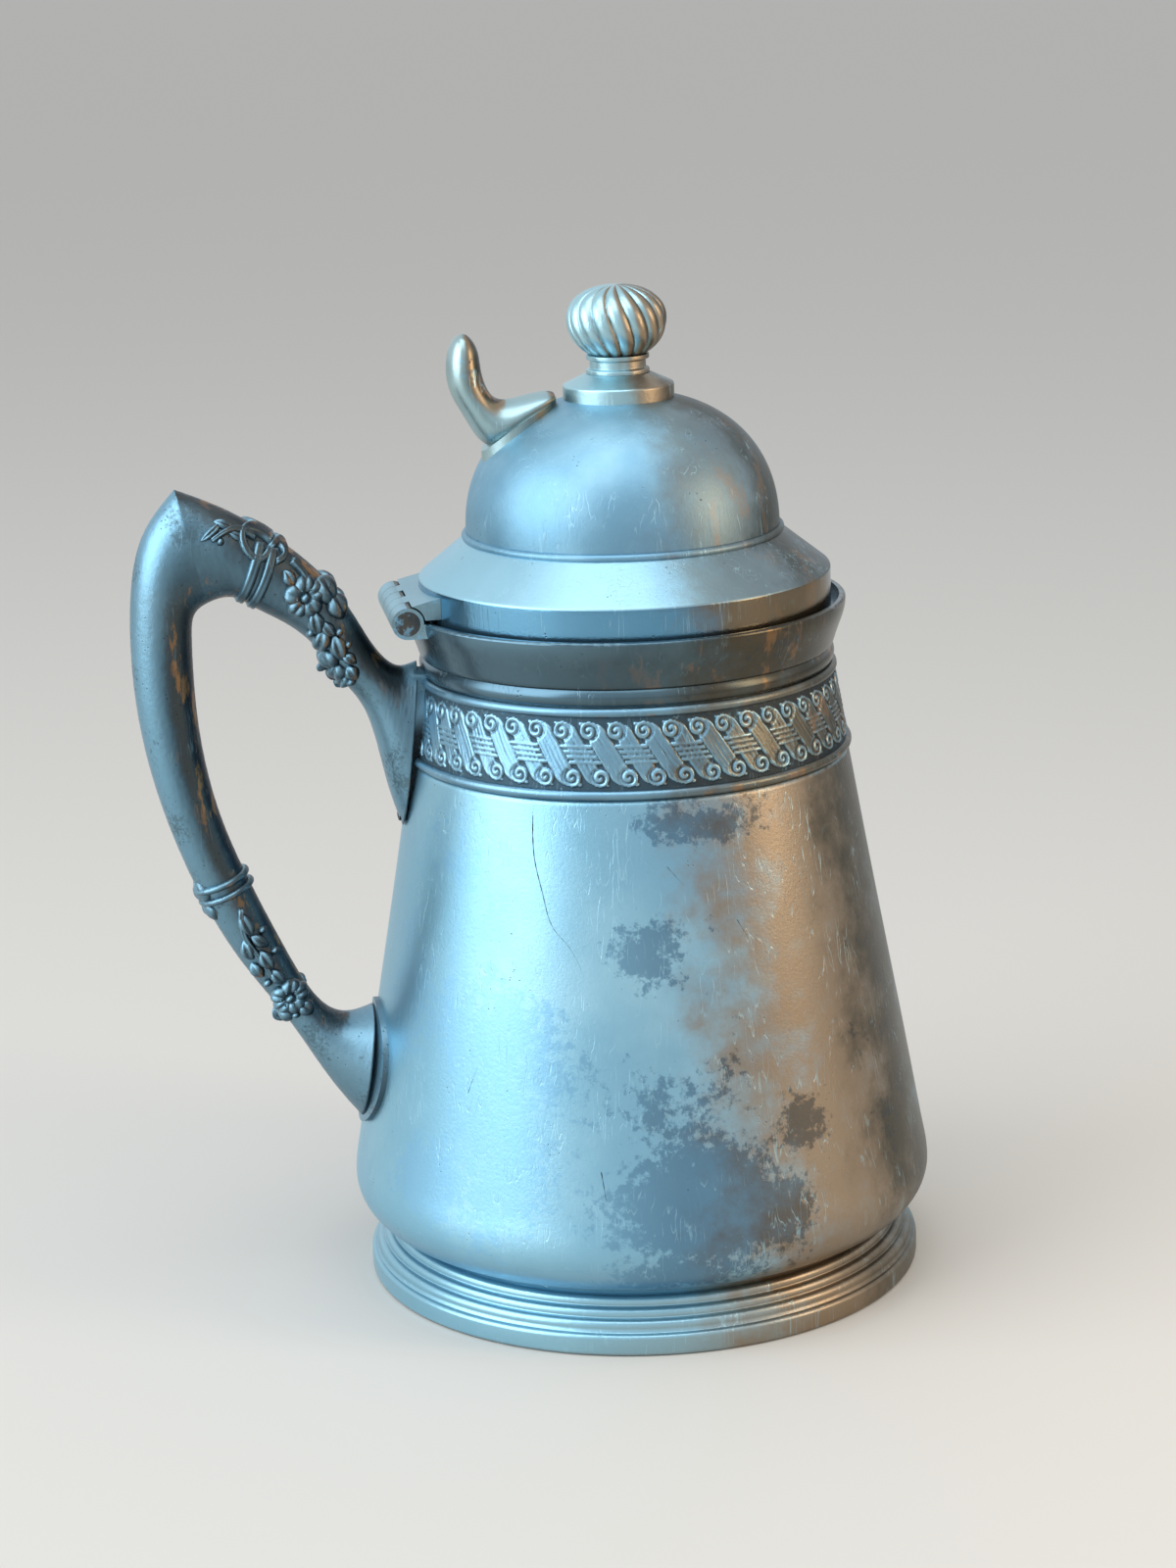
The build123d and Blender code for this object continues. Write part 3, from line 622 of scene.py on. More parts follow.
# Steel-blue patches: angle from the front of the picture, height, width, tall, strength
patchSpots = [
    (-48, 28, 9, 9, 1.0), (9, 27, 20, 10, 1.15), (4, 15, 18, 4, 1.0), (30, 26, 7, 8, 1.0), (34, 38, 6, 7, 1.0),
    (2, 69, 8, 8, 0.9), (-33, 53, 16, 14, 0.6), (-4, 47, 22, 9, 0.8), (-22, 34, 18, 12, 0.5),
    (19, 90, 14, 4, 0.9), (-18, 78, 18, 14, 0.35), (20, 60, 8, 20, 0.4), (-60, 60, 10, 20, 0.4),
    (120, 40, 22, 16, 1.0), (160, 72, 18, 12, 0.8), (-130, 35, 16, 12, 0.9), (75, 58, 14, 16, 0.7),
]
pictureFront = math.radians(-99)
scores = [
    # angle from the front of the picture and height, then the width at the top
    ([(-25.0, 92.6), (-24.0, 84.8), (-21.5, 79.0), (-19.0, 74.0), (-15.0, 70.8), (-11.5, 65.8)], 0.34),
    ([(-8.0, 33.5), (-7.4, 30.5), (-6.8, 27.5)], 0.22), ([(24.0, 74.0), (26.5, 70.5)], 0.16),
    ([(-38.0, 44.0), (-36.0, 49.0)], 0.16), ([(8.0, 84.0), (12.0, 80.5)], 0.14),
]
scoreR = 45.0   # radius at which a score's width is laid out

def buildScores():
    # old scratches: dark hair-thin strips that lie a hundredth proud of the side and taper downwards
    grids = []
    v = circle(8)[None, :]
    for line, wide in scores:
        at, middle = smoothLine(line, 60)
        share = (at / at[-1])[:, None]
        uneven = 0.75 + 0.25 * np.sin(at * 3.1)[:, None]
        half = wide / 2 * np.sqrt(np.clip(share / 0.06, 0, 1)) * (1 - share) ** 0.8 * uneven
        z = middle[:, 1:] + 0 * v
        turn = pictureFront + np.radians(middle[:, :1]) + half * np.cos(v) / scoreR
        r = sideR(z) + bodyDent(turn, z) + np.where(np.sin(v) > 0, 0.012, -0.12) * np.abs(np.sin(v))
        grids.append(capped(turned(r, turn, z)))
    addPiece("bodyScores", grids, "pitcher", "body_plate", darkSolder)


def addFields(piece):
    # how likely a patch is at each point: the strongest of the bell curves round the patch spots
    mesh = piece.data
    co = np.empty(len(mesh.vertices) * 3)
    mesh.vertices.foreach_get("co", co)
    x, y, z = co.reshape(-1, 3).T / mm
    turn = np.degrees((np.arctan2(y, x) - pictureFront + np.pi) % (2 * np.pi) - np.pi)
    total = np.zeros(len(z))
    for middle, level, wide, tall, strength in patchSpots:
        across = np.radians((turn - middle + 180) % 360 - 180) * np.hypot(x, y)
        total = np.maximum(total, strength * np.exp(-((across / wide) ** 2 + ((z - level) / tall) ** 2)))
    setPoints(mesh, "patch", total)


buildBody()
buildScores()


# Foot: plinth, channel and three reeds

foot = {"plinthH": 3.9, "channelIn": 0.9, "channelH": 0.6, "reedTopIn": 5.1, "reedTopZ": 9.3, "reedRise": 0.55,
        "boreIn": 3.6, "boreH": 2.9, "discR": 42.5, "discT": 1.1, "skin": 1.9, "reeds": 3, "edge": 0.8}


def buildFoot():
    f, edge, plinthH = foot, foot["edge"], foot["plinthH"]
    footR = boxOf("foot_ring")[1][0]
    channelR, boreR, discIn = footR - f["channelIn"], footR - f["boreIn"], f["discR"] - f["skin"]
    start = np.array([channelR - f["channelH"] / 2, plinthH + f["channelH"]])
    top = np.array([footR - f["reedTopIn"], f["reedTopZ"]])
    marks = [start + (top - start) * k / f["reeds"] for k in range(f["reeds"] + 1)]
    turn = np.linspace(0, np.pi / 2, 8)
    bottom, discZ = (body["bottomR"], floorZ), floorZ - f["discT"]
    profile = np.concatenate([
        straight((boreR, 0), (footR - edge, 0)),
        arc(footR - edge, edge, edge, turn - np.pi / 2), arc(footR - edge, plinthH - edge, edge, turn),
        straight((footR - edge, plinthH), (channelR, plinthH), 0.3), straight((channelR, plinthH), start, 0.2),
        *[bulge(a, b, f["reedRise"], 14) for a, b in zip(marks, marks[1:])], straight(top, bottom, 0.4),
        chain([bottom, (f["discR"], floorZ), (f["discR"], discZ), (discIn, discZ),
               (discIn, f["reedTopZ"] - f["skin"]), (boreR, f["boreH"]), (boreR, 0)]),
    ])
    addSpun("footRing", profile, 320, dents(8, 0.03), "pitcher", "foot_plate", footPlate, ["foot_ring"],
            reach=0.6)


buildFoot()


# Frieze: slanted ribbons with scrolled ends, every second pair tied by four cords

frieze = {"lowZ": 96.0, "highZ": 109.6, "periods": 25, "slant": math.radians(31), "first": 1.75, "second": 1.5,
          "relief": 0.45, "top": 5.35, "corner": 1.7, "scrollR": 1.55, "scrollTurn": 1.2, "scrollUp": 3.85,
          "scrollOut": 1.0, "tiePitch": 0.86, "backT": 0.6, "lipT": 0.3, "phase": math.radians(-97.2),
          "columns": 1300, "rows": 66, "wireR": 0.85, "wireArc": 0.62 * np.pi}
friezeZ = (frieze["lowZ"] + frieze["highZ"]) / 2


def ridge(distance, half, soft=0.22):
    # raised flat band: 1 inside half, rounded off over soft
    return np.clip((half - np.abs(distance)) / soft, 0, 1) ** 0.6


def tent(distance, half):
    # 1 at the middle, falling straight to 0 at half
    return np.clip(1 - np.abs(distance) / half, 0, 1)


def friezeRelief(around, height):
    # around and height in millimetres from a tie's middle; each ribbon leans, and its end is a hook:
    # rounded on one corner, with a scroll cut into the other
    f = frieze
    pitch = 2 * np.pi * sideR(friezeZ) / f["periods"] / 2
    lean = math.tan(f["slant"])
    q = around + height * lean
    nearest = np.round(q / pitch)
    first = np.mod(nearest, 2) == 1
    off = (q - nearest * pitch) * math.cos(f["slant"])
    half = np.where(first, f["first"], f["second"])
    far = np.clip(off * np.sign(height) - (half - f["corner"]), 0, f["corner"])
    end = f["top"] - f["corner"] + np.sqrt(f["corner"] ** 2 - far ** 2)
    near = -off * np.sign(height) - f["scrollOut"] * math.cos(f["slant"])
    under = f["scrollUp"] + np.sqrt(np.maximum(f["scrollR"] ** 2 - near ** 2, 0))
    end = np.where(near > 0, np.minimum(end, under), end)
    ribbon = ridge(off, half) * np.clip((end - np.abs(height)) / 0.25, 0, 1) ** 0.6
    # fine lines along a ribbon, a split down its middle and a raised rim
    lines = 0.06 * np.sin(off * 9 + 1.3 * np.sin(height * 0.8 + nearest)) + 0.2 * tent(off, 0.16)
    rim = 0.12 * tent(np.abs(off) - half + 0.3, 0.22)
    ribbon = ribbon * (np.where(first, 0.86, 0.7) - lines + rim)
    cord = 0.5 + 0.5 * np.cos(2 * np.pi * (height / f["tiePitch"] - 0.5))
    tied = (np.abs(height) < 2 * f["tiePitch"]) * (0.5 + 0.45 * cord)
    result = np.maximum(ribbon, np.where(~first | (ribbon < 0.05), tied, 0))
    for up in (1, -1):
        line = around + up * (f["scrollUp"] * lean + f["scrollOut"])
        across = line - np.round(line / pitch) * pitch
        middle = height - up * f["scrollUp"]
        reach = np.hypot(across, middle)
        angle = np.arctan2(middle * up, -across * up)
        swirl = 0.5 + 0.5 * np.cos(2 * np.pi * (reach / f["scrollTurn"] - angle / (2 * np.pi)))
        disc = np.clip((f["scrollR"] - reach) / 0.12, 0, 1)
        moat = tent(reach - f["scrollR"] - 0.08, 0.2)
        result = result * (1 - disc) * (1 - 0.6 * moat) + disc * (0.3 + 0.65 * swirl)
    return result


def buildFrieze():
    # a strip that follows the side, pushed out by the relief, with a plain back
    f, lowZ, highZ = frieze, frieze["lowZ"], frieze["highZ"]
    turn = circle(f["columns"])[None, :]
    z = np.linspace(lowZ, highZ, f["rows"])[:, None]
    relief = friezeRelief((turn - f["phase"]) * sideR(friezeZ), z - friezeZ + 0 * turn)
    rng = np.random.default_rng(12)
    relief = relief * (0.92 + 0.08 * np.sin(turn * 41 + 2)) + rng.normal(0, 0.012, relief.shape)
    back = ((highZ, f["lipT"]), (highZ, f["backT"]), (lowZ, f["backT"]), (lowZ, f["lipT"]))
    grid = np.concatenate([
        turned(sideR(z) + relief * f["relief"], turn, z),
        *[turned(sideR(level) - inset, turn, level) for level, inset in back],
    ])
    near = sum(np.roll(relief, (i, j), (0, 1)) for i in range(-3, 4) for j in range(-3, 4)) / 49
    # the low ground between the ribbons counts as groove, where the material paints shade
    bend = np.clip((relief - near) * 2.2 - 0.5 * (relief < 0.2), -1, 1)
    addPiece("friezeRibbons", [grid], "pitcher", "frieze_relief", friezePlate, ["frieze_band"],
             bend=np.concatenate([bend, np.zeros((len(back), f["columns"]))]), wrapRows=True)


def buildWires():
    # half-round mouldings at the band's edges: a small circle spun, with slow dents
    turn = np.linspace(-frieze["wireArc"], frieze["wireArc"], 22)
    for name, z, node in (("friezeLowerWire", frieze["lowZ"], "frieze_lower_wire"),
                          ("friezeUpperWire", frieze["highZ"], "frieze_upper_wire")):
        profile = arc(sideR(z), z, frieze["wireR"], turn)
        addSpun(name, profile, 288, dents(3, 0.02, 9), "pitcher", "frieze_relief", friezePlate, [node],
                reach=0.3)


buildFrieze()
buildWires()


# Lid: wall and cone, bead, dome

lid = {"wall": 0.9, "topZ": 127.1, "coneZ": 134.0, "domeR": 27.4, "domeH": 24.1, "full": 2.3,
       "sweep": 0.93, "beadR": 0.75, "knee": 1.26, "studR": 1.6}


def domePoint(turn, grow=0.0):
    # fuller than an ellipse: r falls as cos to the power 2/full, and z climbs as sin to the same power
    r = (lid["domeR"] + grow) * np.cos(turn) ** (2 / lid["full"])
    z = lid["coneZ"] + (lid["domeH"] + grow) * np.sin(turn) ** (2 / lid["full"])
    return r, z


def domeDent(turn, z):
    # slow dents that die out towards the bead
    return softNoise(turn, z, 7, 0.05) * np.clip((z - lid["coneZ"]) / 6, 0, 1)


def buildLid():
    m, wall, domeR, coneZ = lid, lid["wall"], lid["domeR"], lid["coneZ"]
    low, high = boxOf("lid_skirt")
    lidR, footZ = high[0], low[2]
    skirt = outlined([
        (lidR - wall, footZ, 0.1), (lidR, footZ, 0.15), (lidR, m["topZ"], 0.75), (domeR, coneZ, 0.0),
        (domeR - wall, coneZ, 0.0), (domeR - wall, coneZ - wall, 0.1),
        (lidR - wall, m["topZ"] - m["knee"], 0.3),
    ], 0.6)
    addSpun("lidSkirt", skirt, 300, dents(5, 0.035), "lid", "lid_plate", skirtPlate, ["lid_skirt"], reach=0.8)
    bead = arc(domeR, coneZ, m["beadR"], np.linspace(-np.pi * 0.55, np.pi * 0.72, 18))
    addSpun("lidBead", bead, 260, dents(6, 0.02, 7), "lid", "lid_plate", lidPlate, ["lid_bead"], reach=0.3)
    t = np.linspace(0, m["sweep"] * np.pi / 2, 70)
    outer, inner = np.stack(domePoint(t), axis=1), np.stack(domePoint(t, -wall), axis=1)[::-1]
    (crownR, crown), (underR, under) = outer[-1], inner[0]
    hole = chain([(crownR * 0.8, crown), (m["studR"], crown), (m["studR"], under), (underR * 0.8, under)], 0.4)
    dome = np.concatenate([outer, hole, inner, straight((domeR - wall, coneZ), (domeR, coneZ), 0.4)])
    addSpun("lidDome", dome, 280, domeDent, "lid", "lid_plate", lidPlate, ["lid_dome"])
    return crown


crownZ = buildLid()


# Finial: worn disc, neck ring with two beads, knob with sixteen twisted gadroons

finial = {"plateR": 9.6, "plateT": 1.6, "coneH": 1.9, "ringR": 5.0, "ringH": 3.2, "knobR": 8.66, "lowH": 7.0,
          "topH": 6.1, "footH": 5.8, "full": 2.3, "gadroons": 16, "depth": 0.75, "twist": math.radians(30)}


def buildFinial():
    f, bore, plateTop = finial, lid["studR"], crownZ + finial["plateT"]
    ringZ = plateTop + f["coneH"]
    disc = outlined([
        (bore, crownZ - 0.2, 0), (f["plateR"], crownZ - 1.3, 0.2), (f["plateR"], plateTop, 0.45),
        (f["ringR"] + 0.6, ringZ, 0.4), (bore, ringZ, 0),
    ], 0.35)
    addSpun("finialDisc", disc, 160, dents(9, 0.06), "lid", "finial_cast", knobPlate, ["finial_plate"],
            reach=0.4)
    knobZ, beadR, waistR = ringZ + f["ringH"], f["ringR"] + 0.45, f["ringR"] - 0.15
    neck = outlined([
        (bore, ringZ - 0.1, 0), (beadR, ringZ, 0.15), (beadR, ringZ + 0.75, 0.3), (waistR, ringZ + 0.95, 0.1),
        (waistR, knobZ - 0.95, 0.1), (beadR, knobZ - 0.75, 0.3), (beadR, knobZ, 0.15), (bore, knobZ + 0.1, 0),
    ], 0.2)
    addSpun("finialNeck", neck, 144, dents(10, 0.05, 2), "lid", "finial_cast", knobPlate, ["finial_neck"],
            reach=0.3)
    buildKnob(knobZ + f["footH"])


def buildKnob(middle):
    # each lobe is a rounded arch between narrow grooves, and the grooves lean as they climb
    f, knobR = finial, finial["knobR"]
    share = (1 - np.cos(np.linspace(0, np.pi, 90)))[:, None] / 2
    z = -f["footH"] + (f["footH"] + f["topH"] * 0.995) * share
    low = knobR * np.sqrt(np.maximum(1 - (np.minimum(z, 0) / f["lowH"]) ** 2, 0))
    high = knobR * np.maximum(1 - (np.maximum(z, 0) / f["topH"]) ** f["full"], 0) ** (1 / f["full"])
    radius = np.where(z < 0, low, high)
    turn = circle(640)[None, :]
    lobe = np.abs(np.sin(f["gadroons"] / 2 * (turn + f["twist"] * share)))
    fade = np.clip((radius / knobR - 0.12) / 0.3, 0, 1)
    r = radius - f["depth"] * fade * (1 - lobe ** 0.55)
    grid = np.concatenate([
        turned(0, turn, middle + z[0]), turned(r, turn, middle + z), turned(0, turn, middle + z[-1] + 0.02),
    ])
    addPiece("finialKnob", [grid], "lid", "finial_cast", knobPlate, ["finial_knob"], reach=0.55)


buildFinial()


# Cast arms: an oval section carried through pairs of inner and outer points

def castArm(lines, rows, columns, fold=None):
    # rows of ovals: point = middle + cos v (outer - inner) / 2, and sin v half widths across, with the
    # outer line free to fold at one of the given lines
    lines = np.array(lines)
    inner, outer, half = lines[:, :2], lines[:, 2:4], lines[:, 4:]
    along = lengthsAlong((inner + outer) / 2, 1.0)
    at = np.linspace(0, along[-1], rows)
    if fold is None:
        outerAt = splineThrough(along, outer, at)
    else:
        at = np.sort(np.append(at, along[fold]))
        outerAt = np.concatenate([
            splineThrough(along[:fold + 1], outer[:fold + 1], at[at <= along[fold]]),
            splineThrough(along[fold:], outer[fold:], at[at > along[fold]]),
        ])
    innerAt, halfAt = splineThrough(along, inner, at), splineThrough(along, half, at)
    v = circle(columns)[None, :]
    middle, reach = (innerAt + outerAt) / 2, (outerAt - innerAt) / 2
    x, z = (middle[:, k:k + 1] + reach[:, k:k + 1] * np.cos(v) for k in (0, 1))
    return np.stack([x, -halfAt * np.sin(v), z], axis=-1)


handle = {
    # inner point (x, z), outer point (x, z) and half width; the outer line folds at the peak
    "lines": [
        (-40.9, 83.5, -37.2, 112.9, 6.5), (-42.9, 90.0, -38.6, 112.4, 6.1), (-46.4, 104.4, -41.6, 112.8, 5.2),
        (-50.9, 111.0, -44.7, 116.4, 5.0), (-55.0, 117.0, -48.9, 123.8, 5.3), (-60.2, 121.5, -55.2, 131.6, 5.8),
        (-64.9, 124.3, -62.6, 137.6, 6.2), (-68.9, 126.3, -70.2, 142.2, 6.3), (-72.9, 125.4, -77.3, 145.4, 6.0),
        (-75.2, 123.4, -82.8, 138.4, 5.9), (-75.8, 119.6, -85.7, 128.3, 5.8), (-75.9, 114.6, -86.4, 117.4, 5.6),
        (-75.6, 104.6, -85.7, 104.8, 5.4), (-73.4, 90.2, -82.7, 89.6, 5.0), (-69.6, 78.4, -78.0, 75.6, 4.6),
        (-63.2, 63.4, -70.4, 60.4, 4.3), (-56.4, 51.6, -61.6, 47.2, 4.8), (-51.4, 49.6, -55.4, 36.8, 7.2),
        (-47.6, 50.6, -50.9, 30.6, 9.2),
    ],
    "peak": 8, "rows": 380, "columns": 96, "cordZ": (75.9, 73.7), "cordWide": 1.25,
}
arm = castArm(handle["lines"], handle["rows"], handle["columns"], handle["peak"])


def normalsOf(grid):
    # cross product of the steps along and around, turned to point away from each row's middle
    along = np.gradient(grid, axis=0)
    around = np.roll(grid, -1, axis=1) - np.roll(grid, 1, axis=1)
    normal = np.cross(along, around)
    normal /= np.maximum(np.linalg.norm(normal, axis=2, keepdims=True), 1e-9)
    out = grid - grid.mean(axis=1, keepdims=True)
    return normal * np.sign((normal * out).sum(axis=2, keepdims=True).mean())


armNormals = normalsOf(arm)
frontHalf = armNormals[..., 1] < -0.12
frontPoints, frontNormals = arm[frontHalf], armNormals[frontHalf]
edgeDeep, rootDeep = 0.05, 0.7   # how far a relief's edge and its underside lie below the flank

def onFlank(x, z, lift):
    # point of the handle's front flank behind picture place (x, z): the nearest grid point, slid
    # along its tangent plane, then raised along its normal
    x, z, lift = np.broadcast_arrays(x, z, lift)
    place = np.stack([x.ravel(), z.ravel()], axis=1)
    gaps = ((place[:, None, :] - frontPoints[None, :, ::2]) ** 2).sum(axis=2)
    near = gaps.argmin(axis=1)
    p, n = frontPoints[near], frontNormals[near]
    dx, dz = place[:, 0] - p[:, 0], place[:, 1] - p[:, 2]
    dy = np.clip(-(dx * n[:, 0] + dz * n[:, 2]) / n[:, 1], -0.6, 0.6)
    point = np.stack([place[:, 0], p[:, 1] + dy, place[:, 1]], axis=1) + n * lift.reshape(-1, 1)
    return point.reshape(*x.shape, 3)


def reliefLeaf(x, z, turn, long, wide, high, pointed=0.0, vein=0.0, rings=9, spokes=22):
    # relief form in polar rings: its half width narrows towards the ends by pointed, its height
    # falls as a rounded shoulder, and a vein sinks its middle line
    ring = np.linspace(0, 1, rings)[:, None]
    v = np.linspace(0, 2 * np.pi, spokes, endpoint=False)[None, :]
    a = ring * np.cos(v) * long / 2
    b = ring * np.sin(v) * wide / 2 * (1 - pointed * np.abs(ring * np.cos(v)) ** 1.5)
    rise = high * (1 - ring ** 2.4) ** 0.7 * (1 - vein * tent(b, 0.16 * wide))
    c, s = math.cos(turn), math.sin(turn)
    across, up = a * c - b * s, a * s + b * c
    top = onFlank(x + across, z + up, rise - edgeDeep)
    under = onFlank(x + across[-1:] * 0.85, z + up[-1:] * 0.85, -rootDeep)
    last = np.repeat(under.mean(axis=1, keepdims=True), spokes, axis=1)
    return np.concatenate([top, under, last])


def reliefRibbon(points, wide, high):
    # flat band with two raised edges, along a smooth line on the flank
    at, line = smoothLine(points, 26)
    way = np.gradient(line, axis=0)
    way /= np.linalg.norm(way, axis=1, keepdims=True)
    across = np.linspace(-1, 1, 9)[None, :]
    shape = (1 - across ** 4) * (0.75 + 0.25 * np.abs(across))
    ends = np.clip(np.minimum(at, at[-1] - at)[:, None] / 0.5, 0, 1) ** 0.5
    x = line[:, :1] - way[:, 1:] * across * wide / 2
    z = line[:, 1:] + way[:, :1] * across * wide / 2
    top = onFlank(x, z, high * shape * ends - edgeDeep)
    under = onFlank(x[:, ::-1], z[:, ::-1], -rootDeep)
    return capped(np.concatenate([top, under], axis=1))


def ringOf(x, z, count, far, first=0.0):
    # places and angles of points on a circle about (x, z)
    for k in range(count):
        angle = first + 2 * math.pi * k / count
        yield x + far * math.cos(angle), z + far * math.sin(angle), angle


def blossom(x, z, radius):
    # cupped petals round a beaded middle
    parts = [reliefLeaf(px, pz, angle, radius * 1.05, radius * 1.15, 1.5, -0.2, 0.3)
             for px, pz, angle in ringOf(x, z, 5, 0.62 * radius, 0.3)]
    parts.append(reliefLeaf(x, z, 0, radius * 0.6, radius * 0.6, 1.7))
    for px, pz, angle in ringOf(x, z, 6, 0.42 * radius):
        parts.append(reliefLeaf(px, pz, 0, 0.55, 0.55, 1.5, spokes=10, rings=5))
    return parts


def mirrored(grids):
    # the handle's far flank carries the same relief
    return grids + [np.ascontiguousarray(grid[:, ::-1] * np.array([1, -1, 1])) for grid in grids]


upperSpray = {
    "blossom": (-56.4, 126.4, 3.3),
    # x, z, turn in degrees, long, wide, high, pointed
    "leaves": [
        (-71.6, 138.6, 35, 4.2, 1.3, 0.7, 0.5), (-69.4, 139.6, -25, 3.4, 1.2, 0.7, 0.5),
        (-67.2, 137.6, -30, 3.6, 1.1, 0.6, 0.5), (-52.8, 127.0, -60, 4.6, 2.8, 1.5, 0.3),
        (-51.0, 124.2, -62, 4.4, 2.6, 1.4, 0.4), (-54.6, 121.9, -75, 4.4, 2.4, 1.2, 0.6),
        (-52.6, 120.6, -50, 3.4, 1.8, 1.0, 0.5), (-53.6, 118.6, -95, 3.8, 2.6, 1.3, 0.3),
        (-50.9, 117.2, -70, 4.6, 2.4, 1.2, 0.5), (-52.4, 115.0, -60, 3.6, 2.4, 1.3, 0.4),
        (-49.2, 115.2, -40, 2.8, 1.7, 1.0, 0.5), (-51.2, 112.4, -80, 3.4, 2.4, 1.2, 0.3),
        (-48.8, 112.6, -60, 2.8, 2.0, 1.0, 0.4), (-50.2, 110.6, -95, 2.6, 2.0, 1.1, 0.3),
        (-58.9, 129.9, 120, 3.2, 1.9, 0.9, 0.6),
    ],
    "berries": [
        (-55.4, 120.2, 1.3), (-50.8, 120.0, 1.2), (-53.3, 113.2, 1.3), (-49.4, 117.6, 1.1), (-48.9, 110.9, 1.2),
        (-70.2, 137.0, 1.1),
    ],
    "ribbons": [
        ([(-63.4, 136.4), (-64.6, 132.6), (-66.0, 128.9), (-67.4, 125.9)], 1.5),
        ([(-61.2, 135.2), (-62.5, 131.2), (-64.1, 127.5), (-65.5, 124.9)], 1.5),
        ([(-61.2, 136.0), (-63.2, 137.7), (-66.2, 138.4), (-66.0, 135.6), (-63.6, 133.6), (-61.6, 135.4)], 1.1),
        ([(-62.0, 135.0), (-60.2, 135.6), (-59.4, 133.8), (-61.4, 132.8)], 1.0),
        ([(-64.0, 136.9), (-68.0, 138.7), (-71.8, 137.2)], 0.8),
        ([(-58.4, 132.8), (-56.6, 130.6), (-55.4, 128.4)], 0.8),
    ],
}
lowerSpray = {
    "blossom": (-62.6, 54.6, 2.9),
    "leaves": [
        (-76.8, 74.0, 110, 4.4, 2.0, 0.7, 0.5), (-75.6, 70.8, -60, 3.6, 1.6, 0.7, 0.5),
        (-69.6, 68.6, -65, 4.6, 2.2, 1.1, 0.6), (-67.4, 65.4, -35, 3.6, 1.9, 1.0, 0.6),
        (-69.4, 63.9, -70, 3.8, 2.0, 1.1, 0.5), (-66.4, 61.8, -60, 4.0, 2.2, 1.2, 0.5),
        (-68.0, 60.0, -55, 3.2, 1.8, 1.0, 0.5), (-64.6, 58.6, -50, 3.4, 2.0, 1.1, 0.5),
        (-60.0, 52.4, -40, 3.0, 2.2, 1.1, 0.4), (-63.8, 50.9, -60, 3.2, 2.4, 1.2, 0.3),
    ],
    "berries": [(-66.9, 67.2, 1.1), (-64.9, 63.2, 1.1), (-66.2, 57.6, 1.2), (-61.6, 51.4, 1.1)],
    "ribbons": [([(-70.4, 71.8), (-70.0, 67.0), (-67.6, 62.6), (-65.2, 58.2)], 0.8)],
}
# how much larger the relief is made than it was drawn
grown = {"long": 1.15, "wide": 1.35, "high": 1.25, "berry": 1.3, "ribbon": 1.3}


def buildSpray(name, spray):
    g = grown
    grids = blossom(*spray["blossom"])
    for x, z, turn, long, wide, high, pointed in spray["leaves"]:
        size = long * g["long"], wide * g["wide"], high * g["high"]
        grids.append(reliefLeaf(x, z, math.radians(turn), *size, pointed, 0.35))
    for x, z, size in spray["berries"]:
        grids.append(reliefLeaf(x, z, 0, size * g["berry"], size * g["berry"], size, spokes=14, rings=6))
    for line, wide in spray["ribbons"]:
        grids.append(reliefRibbon(line, wide * g["ribbon"], 1.1))
    addPiece(name, mirrored(grids), "pitcher", "cast_handle", castPlate, reach=0.5)


def handleRow(z):
    # row of the grip whose middle lies nearest to this height
    middle = arm.mean(axis=1)
    grip = np.arange(len(middle)) > len(middle) // 2
    return int(np.argmin(np.abs(middle[:, 2] - z) + 1000 * ~grip))


def buildRings():
    # two cords wound round the grip: half-round hoops that follow the handle's own section
    grids = []
    v = circle(12)[:, None, None]
    for z in handle["cordZ"]:
        row = handleRow(z)
        along = (arm[row + 1] - arm[row - 1]).mean(axis=0)
        along /= np.linalg.norm(along)
        out = armNormals[row] * (0.15 + 0.75 * np.cos(v))
        grids.append(np.transpose(arm[row] + out + along * np.sin(v) * handle["cordWide"] / 2, (1, 0, 2)))
    addPiece("handleLowerCords", grids, "pitcher", "cast_handle", castPlate, reach=0.5, wrapRows=True)


def buildHandle():
    rng = np.random.default_rng(31)
    cast = arm + armNormals * rng.normal(0, 0.012, arm.shape[:2])[..., None]
    addPiece("handleCast", [capped(cast)], "pitcher", "cast_handle", castPlate, ["handle"], reach=0.9)
    buildSpray("handleUpperSpray", upperSpray)
    buildSpray("handleLowerSpray", lowerSpray)
    buildRings()


buildHandle()

lift = {
    "lines": [
        (-11.6, 157.0, -11.4, 158.6, 3.0), (-12.6, 156.2, -12.2, 158.8, 3.7), (-17.4, 152.6, -16.6, 158.3, 5.1),
        (-23.4, 150.3, -19.8, 157.8, 5.0), (-26.9, 154.9, -21.8, 158.4, 4.5), (-29.2, 159.4, -23.2, 160.6, 4.2),
        (-29.8, 163.6, -23.9, 163.6, 4.0), (-28.9, 167.7, -24.6, 167.3, 3.0), (-27.9, 169.0, -25.6, 168.8, 1.8),
        (-27.2, 169.35, -26.2, 169.3, 0.7),
    ],
    "rows": 130, "columns": 64,
}
tongue = castArm(lift["lines"], lift["rows"], lift["columns"])
addPiece("thumbLift", [capped(tongue)], "lid", "cast_lift", liftPlate, ["thumb_lift"], reach=0.9)

# CAD nodes whose shape is right keep it and get the finishes
kept = {
    "base_disc": innerPlate, "rim_collar": rimPlate, "handle_upper_seat": darkSolder,
    "handle_lower_plate": castPlate, "hinge_body_leaf": hingePlate, "hinge_lid_leaf": hingePlate,
    "hinge_pin": pinPlate, "thumb_lift_plate": liftPlate, "finial_stud": pinPlate,
    "finial_washer": pinPlate, "finial_nut": pinPlate,
}
for node, material in kept.items():
    nodes[node].data.materials.clear()
    nodes[node].data.materials.append(material)
print("frame dressed")


# Stage: pale floor, soft light, and the camera where the picture was taken from

